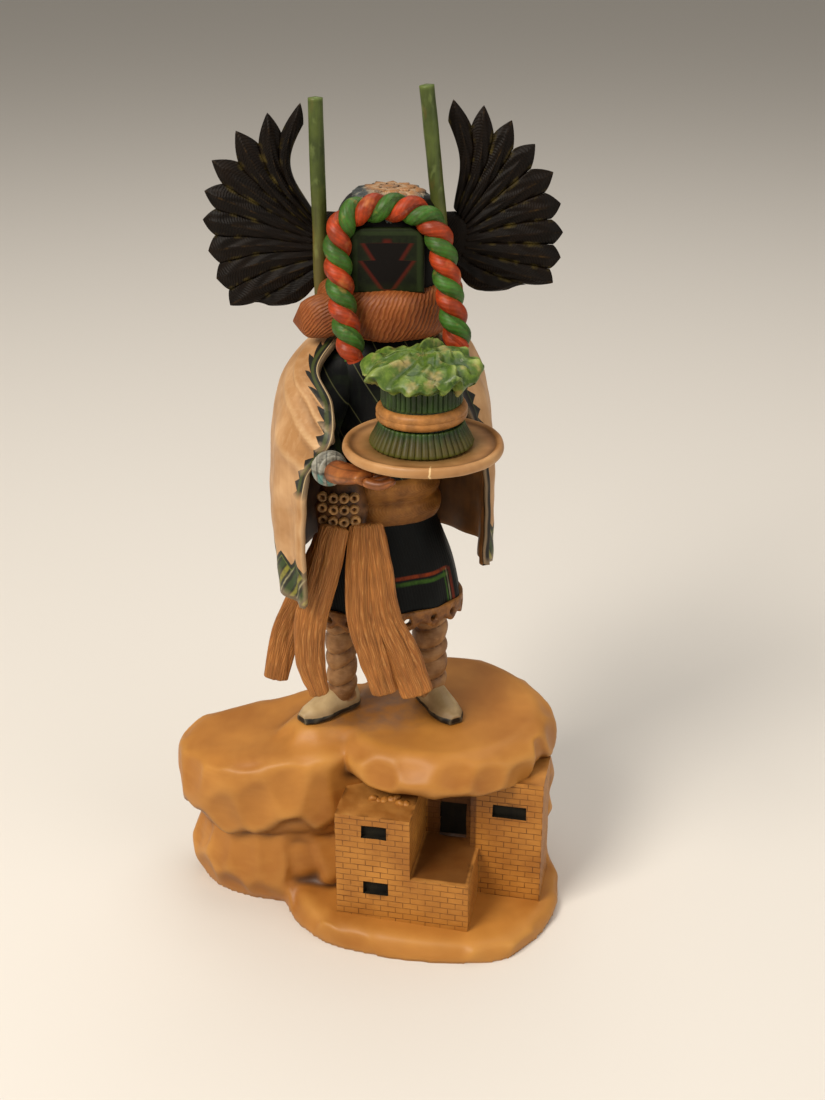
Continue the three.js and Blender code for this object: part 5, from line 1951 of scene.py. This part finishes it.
        rise = np.concatenate([np.cumsum(fall[::-1], 0)[::-1], np.zeros((1, around + 1))], 0)
        self.form.sheet(outer, inner, Part.CAPE.slot, Part.LINING.slot, Part.CAPE.slot, np.stack([edge, rise], 2))

    def arms(self) -> None:
        """Models sleeves, hands, fingers and the bracelet."""
        for points, widths, depths in (
            ([[-10, -4, 104], [-16.5, -10, 97], [-18.6, -17, 90], [-16.6, -26, 87.6], [-14.2, -33.5, 87]],
             [14, 14, 13, 11, 8], [14, 16, 15, 11, 8.4]),
            ([[11, -3, 104], [16.6, -6, 97], [19.4, -10, 90], [19.4, -18, 87.6], [18, -25, 87.6]],
             [14, 14, 13, 10, 7], [14, 16, 14, 10, 6.4]),
        ):
            grid = sweep(points, widths, depths, 44, 40, UP)
            self.form.tube(swollen(grid, 0.35 * ripple(grid, 4.5, 33)), Part.CHEST.slot)
        for points in ([[-15, -31, 86.6], [-12, -39, 87.6], [-8, -46, 89.6], [-3.5, -51, 91.2]],
                       [[18.6, -23, 87], [18.4, -31, 88], [17, -39, 89.8], [14, -45, 91.4]]):
            self.form.tube(sweep(points, [6.4, 6.4, 8.4, 7], [6.4, 6, 4.6, 3], 24, 28, UP), Part.HAND.slot)
        for i in range(4):
            root = np.array([-9.4 + i * 1.5, -45 - i * 2.2, 89.2 + i * 0.3])
            tip = np.array([-0.6 + i * 1.2, -47.6 - i * 2.4, 91.6])
            knuckle = (root + tip) / 2 - (0, 0, 1.1)
            self.form.tube(sweep([root, knuckle, tip], [2.4, 2.6, 1.7], [2.4, 2.5, 1.7], 18, 14, UP), Part.HAND.slot)
        cuff = [[-15, -33.4, 87], [-14.3, -35.2, 87.3], [-12.9, -38.4, 87.9], [-12.2, -40, 88.2]]
        grid = sweep(cuff, [6.8, 8.6, 8.6, 6.8], [6.6, 8.4, 8.4, 6.6], 28, 40, UP)
        groove = 0.35 * np.cos(np.linspace(0, 6 * math.pi, len(grid)))[:, None]
        self.form.tube(swollen(grid, -groove), Part.BRACELET.slot)

    def ruff(self) -> None:
        """Rolls the fur collar, with its loose end on the left."""
        steps, sides = 150, 34
        angle = circle(steps)[:, None]
        turn = circle(sides)[None]
        front = np.maximum(0, -np.sin(angle))
        high = 5.5 + 1.3 * front
        thick = 3.7 + 0.5 * front
        lock = 0.08 * np.sin(64 * angle - 3 * turn) + 0.12 * np.sin(9 * angle + 2 * turn)
        rise = squared(np.sin(turn), 0.8)
        reach = (thick + lock) * squared(np.cos(turn), 0.7)
        grid = np.stack([
            (15.4 + reach) * np.cos(angle) + 1 + 0 * turn,
            (11.6 + reach) * np.sin(angle) - 1.6 + 0 * turn,
            121.5 - 1.6 * front + (high + lock) * rise,
        ], 2)
        uv = np.stack([5 * turn + 0 * angle, 15 * angle + 0 * turn], 2)
        self.form.grid(grid, Part.RUFF.slot, uv)
        end = sweep([[-10, -10.6, 120], [-16, -10.8, 119], [-20.6, -10.4, 117.8], [-23.6, -10, 117.4]],
                    [10, 12, 9.6, 3], [6, 6.6, 5.4, 2], 30, 34, ends=3.5)
        end = swollen(end, 0.15 * ripple(end, 3.0, 6))
        self.form.tube(end, Part.RUFF.slot, arc_uv(end)[..., ::-1])

    def mask(self) -> None:
        """Models the case mask and the raised panel on its front."""
        rows = [[113, 0.5], [114, 0.6], [120, 0.94], [130, 1], [141, 0.98], [145.4, 0.86], [147.8, 0.66], [148.9, 0.36],
                [149, 0.1]]
        fine = smooth_line(rows, 60)
        grid = np.array([level_ring((*self.mask_middle, h), self.mask_size[0] * s, self.mask_size[1] * s, 96, 0, 2.8)
                         for h, s in fine])
        self.form.tube(grid, Part.MASK.slot)
        left, right, bottom, top, corner = -8.6, 10.0, 126.0, 142.4, 4.0
        bend = np.linspace(0, math.pi / 2, 9)
        outline = [[left, bottom + 0.2], [left + 0.2, bottom], [right - 0.2, bottom], [right, bottom + 0.2]]
        outline += [[right - corner + corner * math.cos(t), top - corner + corner * math.sin(t)] for t in bend]
        outline += [[left + corner - corner * math.sin(t), top - corner + corner * math.cos(t)] for t in bend]
        outline.append(outline[0])
        shape = np.array(outline)
        middle = shape.mean(0)
        wall = self.mask_middle[1] - self.mask_size[1] + 2.2
        layers = []
        for out, shrink in ((0, 1), (2.4, 1), (2.85, 0.985), (3.0, 0.95), (3.0, 0.7), (3.0, 0.4), (3.0, 0.02)):
            flat = middle + (shape - middle) * shrink
            layers.append(np.stack([flat[:, 0], np.full(len(flat), wall - out), flat[:, 1]], 1))
        grid = np.array(layers)
        uv = np.stack([grid[..., 0] - (left + right) / 2, grid[..., 2] - 134], 2)
        self.form.tube(grid, Part.PANEL.slot, uv)

    def crown(self) -> Piece:
        """Lays three rings of short feathers over the mask's domed top.

        Returns:
            The crown.
        """
        middle_x, middle_y = self.mask_middle
        random = np.random.default_rng(31)
        form = Form()
        for count, start, end, lift, wide in ((15, 0.3, 0.93, 0.25, 4.4), (12, 0.16, 0.72, 0.6, 3.9),
                                              (9, 0.02, 0.5, 0.95, 3.2)):
            for turn in np.linspace(0, 2 * math.pi, count, endpoint=False) + random.uniform(-0.12, 0.12, count):
                along = np.linspace(0, 1, 14)[:, None]
                side = np.linspace(-1, 1, 9)[None]
                width = wide / 2 * np.sin(np.clip(along * 2.75 + 0.3, 0, math.pi)) ** 0.6 * side
                share = start + (end + random.uniform(-0.05, 0.05) - start) * along
                out = share * 13.4
                height = np.interp(share, [0, 0.36, 0.66, 0.86, 0.98], [149.1, 148.7, 147.6, 145.2, 142])
                dome = lift + 0.35 * (1 - side**2) + 0.25 * np.exp(-((side / 0.16) ** 2)) + 0.4 * along**2
                x = middle_x + out * math.cos(turn) - width * math.sin(turn)
                y = middle_y + out * math.sin(turn) + width * math.cos(turn)
                z = np.minimum(height + dome, 149.9)
                top = np.stack([x, y, z], 2)
                uv = np.stack([width, along + 0 * width], 2)
                form.sheet(top, top - (0, 0, 0.7), 0, 0, 0, uv)
        form.tube(turned([[2.8, 148.6], [2.4, 149.9], [0.9, 150.0]], 20) + (middle_x, middle_y, 0), 0)
        return form.build("crown_feathers", [CROWN], DOLL)


# Root, middle and tip of each feather as x, z pairs, from the top down.
LEFT_FEATHERS = [
    [-17.6, 140, -25.2, 154, -21.6, 167.7], [-17.8, 139, -27.4, 152.6, -29.2, 165.2],
    [-18.2, 138, -30.6, 150.4, -36.6, 161], [-18.6, 137, -32.6, 146.8, -42.4, 154.2],
    [-19, 136, -33.4, 142.4, -44.5, 146.9], [-19, 134.6, -33.4, 138, -45.2, 140],
    [-18.8, 133, -33, 134, -44.2, 132.5], [-18.4, 131.4, -31.6, 129.6, -42.6, 125.5],
    [-17.4, 129.6, -29, 125, -39.5, 118.6], [-16, 128, -24, 121.6, -29.4, 118.6],
]
RIGHT_FEATHERS = [
    [18, 143, 20.6, 156, 17.7, 168.5], [18.8, 142, 24, 155.4, 24.8, 167], [19.8, 141, 27.4, 153.6, 31.3, 163.5],
    [20.6, 140, 30, 150.4, 36.7, 158], [21, 138.6, 32, 146, 41.2, 151.4], [21.2, 137, 33, 141.6, 43.2, 144],
    [21, 135.2, 33, 136.6, 44, 137], [20.8, 133.4, 32.6, 131.8, 43.7, 130.6], [20, 131.4, 31.4, 127.4, 42, 124.2],
    [18.4, 129.4, 25, 124.4, 30.4, 122.6],
]


@dataclass
class Wing:
    """One carved fan of feathers beside the mask.

    Attributes:
        name: The object's name.
        feathers: Root, middle and tip of each feather as x, z pairs.
        side: -1 on the left, 1 on the right.
        thickness: The fan's thickness in millimetres.
        reach: How far each tip goes past its listed place.
        plane: How far behind the doll's middle the fan stands.
    """

    name: str
    feathers: Points
    side: int
    thickness: float = 3.4
    reach: float = 2.0
    plane: float = 4.0

    def build(self) -> Piece:
        """Builds the fan feather by feather, and the hub at the mask.

        Returns:
            The finished piece.
        """
        form = Form()
        lines = np.array([self.spine(one) for one in self.feathers])
        seams = [self.half_way(lines[0] * 2 - lines[1], lines[0])]
        seams += [self.half_way(lines[i], lines[i + 1]) for i in range(len(lines) - 1)]
        seams.append(self.half_way(lines[-1], lines[-1] * 2 - lines[-2]))
        for i, spine in enumerate(lines):
            self.feather(form, spine, seams[i], seams[i + 1], i)
        inner = self.side * 13.9 + 1.3 * (self.side > 0) + 0.7
        path = [[inner, self.plane, 134], [inner + self.side * 3.4, self.plane, 134.6],
                [inner + self.side * 9, self.plane, 135.4]]
        hub = sweep(path, [17, 16, 8], [3.0, 3.2, 2.2], 24, 40, ends=0.6)
        form.tube(hub, 0)
        return mark_relief(form.build(self.name, [FEATHER], DOLL), 4)

    def spine(self, line: Row) -> Array:
        """Bends a feather's quill through its three points, tip drawn out.

        Args:
            line: Root, middle and tip as x, z pairs.

        Returns:
            Points along the quill.
        """
        root, middle, tip = (np.array([line[i], self.plane, line[i + 1]]) for i in (0, 2, 4))
        tip = tip + unit(tip - middle) * self.reach
        return smooth_line([root, middle, tip], 44)

    def half_way(self, one: Array, two: Array) -> Array:
        """Finds the line on which two feathers meet, up to their notch, which is deeper higher up.

        Args:
            one: The first quill.
            two: The second.

        Returns:
            Points along the line.
        """
        notch = np.interp((one + two)[-1, 2] / 2, [120, 135, 150, 160], [0.94, 0.91, 0.86, 0.8])
        shares = np.linspace(0, notch, len(one)) * (len(one) - 1)
        return resampled((one + two) / 2, shares, np.arange(len(one)))

    def feather(self, form: Form, spine: Array, left: Array, right: Array, number: int) -> None:
        """Adds one feather: a ridge at its quill, low at its seams, round at its tip.

        Args:
            form: Takes the surfaces.
            spine: Points along its quill.
            left: Its seam on the left.
            right: Its seam on the right.
            number: Its place in the fan.
        """
        columns = 15
        across = np.linspace(-1, 1, columns)
        rows = len(spine)
        share = np.linspace(0, 1, rows)[:, None]
        grid = np.empty((rows, columns, 3))
        ahead = unit(np.gradient(spine, axis=0))
        for k, a in enumerate(across):
            seam = left if a < 0 else right
            off = seam - spine
            along = (off * ahead).sum(1, keepdims=True)
            sideways = off - along * ahead
            bulge = 1 + 0.12 * math.sin(math.pi * abs(a)) * share**3
            grid[:, k] = spine + sideways * abs(a) * bulge + along * ahead * abs(a) ** 1.2
        swell = 0.5 + 0.5 * (1 - np.abs(across) ** 1.4)[None]
        quill = 0.1 * np.exp(-((across / 0.14) ** 2))[None]
        taper = np.clip((1 - share) * 9, 0.12, 1)
        half = (self.thickness / 2) * (swell * (1 - 0.35 * share) + quill) * taper
        wave = 0.14 * np.sin(share * 21 + number * 2 + np.abs(across)[None] * 5) * np.clip(share * 2, 0, 1)
        layer = 0.25 * (across[None] * self.side) * np.clip(share * 3, 0, 1)
        front, back = grid.copy(), grid.copy()
        front[..., 1] -= half + wave - layer
        back[..., 1] += half - wave + layer
        length = run_along(spine)
        uv = np.stack([across[None] * 3.4 + 0 * share, length[:, None] + 0 * across[None]], 2)
        form.sheet(front, back, 0, 0, 0, uv)


@dataclass
class Stick:
    """One straight twig that stands in the ruff.

    Attributes:
        name: The object's name.
        foot: Its lower end in the ruff.
        top: Its upper end.
        diameter: Its thickness in millimetres.
    """

    name: str
    foot: Triple
    top: Triple
    diameter: float = 3.8

    def build(self) -> Piece:
        """Builds the twig, whittled a little unevenly, its ends cut flat.

        Returns:
            The finished piece.
        """
        foot, top = np.array(self.foot), np.array(self.top)
        path = [foot, foot * 0.66 + top * 0.34, foot * 0.33 + top * 0.67, top]
        grid = sweep(path, [self.diameter], [self.diameter], 60, 32, ends=0.3)
        grid = swollen(grid, 0.1 * ripple(grid * (1, 1, 0.35), 2.6, 90 + len(self.name)))
        return mark_relief(carved(self.name, [grid], TWIG, DOLL), 3)


@dataclass
class YarnRope:
    """The rope over the face: a red and a green strand twisted together.

    Attributes:
        diameter: The rope's thickness in millimetres.
        lay: The length of one full twist.
        path: The points that it runs through.
    """

    diameter: float = 7.0
    lay: float = 9.7
    path: Points = (
        (-7.6, -22.8, 111), (-8.6, -22, 115), (-9.6, -20.4, 119.3), (-10.6, -18.8, 125), (-11.4, -17, 132.4),
        (-11.6, -15.6, 138.2), (-10.4, -14.6, 143.2), (-6.8, -13.8, 146.4), (0.2, -13.2, 147.2), (6.8, -13.6, 146.7),
        (10.8, -14.2, 144.5), (13.2, -15, 140.8), (14.6, -16.2, 136), (15.8, -17.8, 129), (17, -19.4, 122.4),
        (18.2, -21, 116.5), (19, -21.8, 113.5),
    )

    def build(self) -> Piece:
        """Builds both strands along the twisted path.

        Returns:
            The finished piece.
        """
        fine = smooth_line(self.path, 900)
        run = run_along(fine)
        even = np.linspace(0, run[-1], 420)
        line = resampled(fine, even, run)
        ahead = unit(np.gradient(line, axis=0))
        side = unit(np.cross(ahead, FORWARD))
        lift = np.cross(side, ahead)
        spin = (2 * math.pi * even / self.lay)[:, None]
        near = np.minimum(even, even[-1] - even)
        tuck = np.clip(near / 3.0, 0.25, 1)[:, None]
        strands = []
        for name, finish, phase in (("red_strand", RED_YARN, 0.4), ("green_strand", GREEN_YARN, 0.4 + math.pi)):
            off = 0.21 * self.diameter * tuck * (side * np.cos(spin + phase) + lift * np.sin(spin + phase))
            strands.append(mark_relief(strand(name, line + off, 0.31 * self.diameter, finish, DOLL, 16), 3))
        return joined("yarn_rope_twisted", strands)


@dataclass
class Tray:
    """The flat round tray in the hands.

    Attributes:
        diameter: Its width in millimetres.
        thickness: Height of its floor.
        lip: Height and width of its raised lip.
    """

    diameter: float = 39.4
    thickness: float = 2.5
    lip: Pair = (0.9, 2.2)

    def build(self) -> Piece:
        """Turns the tray's profile and lets the rim waver a little.

        Returns:
            The finished piece.
        """
        r, top = self.diameter / 2, self.thickness + self.lip[0]
        profile = [[0.02, 0], [r * 0.5, 0], [r * 0.8, 0], [r - 0.4, 0.7], [r, 1.6], [r, 2.2], [r - 0.3, top - 0.3],
                   [r - 0.9, top], [r - 1.4, top - 0.15], [r - self.lip[1], self.thickness], [r * 0.6, self.thickness],
                   [0.02, self.thickness]]
        corners = np.arange(len(profile))
        soft = resampled(np.array(profile), np.arange(0, corners[-1] + 0.1, 0.25), corners)
        soft[2:-2] = (soft[:-4] + 2 * soft[1:-3] + 3 * soft[2:-2] + 2 * soft[3:-1] + soft[4:]) / 9
        grid = turned(soft, 128)
        angle = circle(128)
        grid[..., 2] += 0.12 * np.sin(3 * angle + 0.5)[None] * (np.linalg.norm(grid[..., :2], axis=2) / r) ** 4
        grid += 0.05 * ripple(grid, 4.0, 45)[..., None] * (grid[..., 2:] > 0.3)
        return mark_relief(carved("tray_turned", [grid + TRAY_MIDDLE], TRAY, DOLL))


@dataclass
class SproutBundle:
    """The bound bundle of green shoots on the tray.

    Attributes:
        foot: Diameter of its flared foot in millimetres.
        stem: Diameter of its stem.
        leaf: Diameter of its leaves.
        skirt_height: Height of the flared foot.
        cord_height: Height of the two turns of cord.
        stem_height: Height of the stem over the cord.
        leaf_height: Height of the leaves.
        flutes: Shoots round it.
    """

    foot: float = 25.8
    stem: float = 19.4
    leaf: float = 28.0
    skirt_height: float = 5.4
    cord_height: float = 5.6
    stem_height: float = 4.8
    leaf_height: float = 7.4
    flutes: int = 46

    def build(self) -> Piece:
        """Builds the core, its shoots, the cord and the leaves.

        Returns:
            The finished piece.
        """
        origin = DOLL + np.array([TRAY_MIDDLE[0] - 0.4, TRAY_MIDDLE[1], TRAY_MIDDLE[2] + 2.5 + GAP]) * MM
        cord_top = self.skirt_height + self.cord_height
        stem_top = cord_top + self.stem_height
        foot, stem = self.foot / 2, self.stem / 2
        core = Form()
        rows = [[foot - 0.7, 0], [foot - 1.1, 1.6], [stem, self.skirt_height - 0.6], [stem - 0.2, self.skirt_height],
                [stem - 0.2, cord_top], [stem - 0.6, cord_top + 0.3], [stem - 0.4, stem_top + 1]]
        core.tube(turned(smooth_line(rows, 40), 72), 0)
        self.leaves(core, stem_top)
        pieces = [core.build("bundle_core", [SHOOTS, LEAF], origin),
                  *self.shoots(origin, cord_top, stem_top), self.cord(origin)]
        return joined("sprout_bundle_bound", [mark_relief(piece, 4) for piece in pieces])

    def shoots(self, origin: Array, cord_top: float, stem_top: float) -> list[Piece]:
        """Stands the shoots side by side round the foot and round the stem.

        Args:
            origin: Where zero stands in the frame, in metres.
            cord_top: Height of the cord's top.
            stem_top: Height of the stem's top.

        Returns:
            The two rings of shoots.
        """
        made = []
        foot, stem = self.foot / 2, self.stem / 2
        for name, foot_end, path in (
            ("foot_shoots", True, [[foot - 0.4, 0, 0], [foot - 1.1, 0, 1.6], [stem + 0.5, 0, self.skirt_height - 0.8],
                                   [stem + 0.1, 0, self.skirt_height + 0.4]]),
            ("stem_shoots", False, [[stem - 0.3, 0, cord_top - 0.4], [stem - 0.4, 0, cord_top + 1.4],
                                    [stem - 0.2, 0, stem_top + 1.2]]),
        ):
            width = 2 * math.pi * (foot if foot_end else stem) / self.flutes * 1.04
            grid = sweep(path, [width, width * (0.86 if foot_end else 1)], [1.3], 8, 9, (1.0, 0.0, 0.0), 0.3)
            facing = round_axis(1, circle(self.flutes)[:-1], 0)
            made.append(scattered(name, 0 * facing, facing, grid, SHOOTS, origin, 0.985))
        return made

    def cord(self, origin: Array) -> Piece:
        """Winds two broad turns of cord round the bundle.

        Args:
            origin: Where zero stands in the frame, in metres.

        Returns:
            The cord.
        """
        turns, stem = 2.12, self.stem / 2
        angle = np.linspace(0, turns * 2 * math.pi, 220)
        rise = self.skirt_height + 1.5 + (self.cord_height - 3.0) * np.clip(angle / (turns * 2 * math.pi), 0, 1)
        return strand("binding_cord", round_axis(stem - 0.1, angle + 1.2, rise), 1.5, CORD, origin, 14)

    def leaves(self, form: Form, stem_top: float) -> None:
        """Spreads the wavy leaves with folds that run out from the middle.

        Args:
            form: Takes the surfaces.
            stem_top: Height of the stem's top.
        """
        sides, radius = 132, self.leaf / 2
        angle = circle(sides)
        rows = [[0.2, 0.62], [0.6, 0.86], [1.6, 1.0], [3.0, 0.99], [4.4, 0.84], [5.4, 0.62], [6.2, 0.36], [6.3, 0.14],
                [5.9, 0.02]]
        fine = smooth_line(rows, 46)
        frill = np.sin(8 * angle) * 0.5 + np.sin(5 * angle + 1) * 0.5
        folds = 0.5 * np.sin(5 * angle + 0.4) + 0.5 * np.sin(8 * angle + 2.0) + 0.25 * np.sin(13 * angle)
        grid = []
        for height, share in fine:
            rise = height / 7 * self.leaf_height
            fold = frill if height < 0.8 else folds
            reach = radius * share * (1 + 0.07 * fold * share)
            lift = rise + (1.5 * folds + 0.45 * np.sin(17 * angle + 3 * share)) * share
            swirl = angle + 0.1 * math.sin(share * 5) + 0.06 * np.sin(3 * angle)
            grid.append(round_axis(reach, swirl, stem_top + lift))
        made = np.array(grid)
        away = np.clip(np.linalg.norm(made[..., :2], axis=2) / 4, 0, 1)
        made += ((0.6 * ripple(made, 3.2, 19) + 0.42 * ripple(made, 1.3, 29)) * away)[..., None]
        made[:, -1] = made[:, 0]
        form.tube(made, 1)


# The stage

@dataclass
class Studio:
    """Floor, soft light and camera.

    Attributes:
        eye: The camera's place on the rock's plan in millimetres.
        tilt: Its tilt in degrees.
        lens: Its focal length.
    """

    eye: Triple = (12.0, -389.71, 286.73)
    tilt: float = 65.0
    lens: float = 50.0

    def build(self) -> None:
        """Sets up everything round the doll."""
        scene = bpy.context.scene
        camera = bpy.data.cameras.new("camera")
        camera.lens = self.lens
        camera.sensor_width = 36
        camera.clip_start = 0.01
        made = placed("camera", camera)
        made.location = Vector(np.array(self.eye) * MM + ROCK)
        made.rotation_euler = (math.radians(self.tilt), 0, 0)
        scene.camera = made
        self.floor()
        self.lamp("key", (-0.6, -0.65, 0.95), 0.5, 15.0, (1.0, 0.92, 0.82))
        self.lamp("fill", (0.85, -0.6, 0.6), 0.9, 3.6, (1.0, 0.95, 0.9))
        self.lamp("top", (0.1, 0.3, 1.1), 0.8, 4.5, (1.0, 0.96, 0.92))
        world = bpy.data.worlds.new("studio")
        world.use_nodes = True
        world.node_tree.nodes["Background"].inputs["Color"].default_value = linear("#EDE6DC")
        world.node_tree.nodes["Background"].inputs["Strength"].default_value = 0.33
        scene.world = world
        scene.view_settings.view_transform = "Standard"

    def lamp(self, name: str, place: Row, size: float, power: float, color: Row) -> None:
        """Hangs a square soft light that looks at the doll.

        Args:
            name: The lamp's name.
            place: Where it hangs, in metres.
            size: Its width in metres.
            power: Its power in watts.
            color: Its colour.
        """
        light = bpy.data.lights.new(name, "AREA")
        light.energy = power
        light.size = size
        light.color = color
        made = placed(name, light)
        made.location = place
        made.rotation_euler = (Vector((0, 0, 0.1)) - made.location).to_track_quat("-Z", "Y").to_euler()

    def floor(self) -> None:
        """Lays the pale grey-beige floor."""
        mesh = bpy.data.meshes.new("floor")
        mesh.from_pydata([(-6, -3, 0), (6, -3, 0), (6, 9, 0), (-6, 9, 0)], [], [(0, 1, 2, 3)])
        coat = Coat("matt_paper_floor")
        coat.color = add_node(coat.tree, "ShaderNodeRGB")
        coat.color.default_value = linear("#DEDAD3")
        shader = add_node(coat.tree, "ShaderNodeBsdfPrincipled", {"Base Color": coat.color, "Roughness": 0.85})
        add_node(coat.tree, "ShaderNodeOutputMaterial", {"Surface": shader})
        mesh.materials.append(coat.material)
        placed("floor", mesh)


def report(piece: Piece, node: str, slot: str) -> None:
    """Ties a piece to its solid and logs what it came to.

    Args:
        piece: The piece.
        node: The solid that it stands for.
        slot: The name of its material slot; not used.
    """
    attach(piece, "root")
    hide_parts(node)
    mesh = piece.data
    mesh.calc_loop_triangles()
    LOG.info("%s for %s: %d triangles, %d finishes", piece.name, node, len(mesh.loop_triangles), len(mesh.materials))


def main() -> None:
    """Sets up the studio, then builds and reports the doll piece by piece."""
    logging.basicConfig(level=logging.INFO, format="%(name)s %(message)s")
    Studio().build()
    for piece, node, slot in (
        (RockBase(), "rock_base", "rock"),
        (Figure(), "figure", "figure"),
        (Wing("wing_left_feathers", LEFT_FEATHERS, -1), "wing_left", "wings"),
        (Wing("wing_right_feathers", RIGHT_FEATHERS, 1), "wing_right", "wings"),
        (Stick("stick_left_twig", (-16.5, -3, 118.5), (-16.9, -3, 172.2)), "stick_left", "sticks"),
        (Stick("stick_right_twig", (16.4, -2.4, 118.5), (10.4, -3, 175.2)), "stick_right", "sticks"),
        (YarnRope(), "yarn_rope", "rope"),
        (Tray(), "tray", "tray"),
        (SproutBundle(), "sprout_bundle", "sprouts"),
    ):
        report(piece.build(), node, slot)


if __name__ == "__main__":
    main()
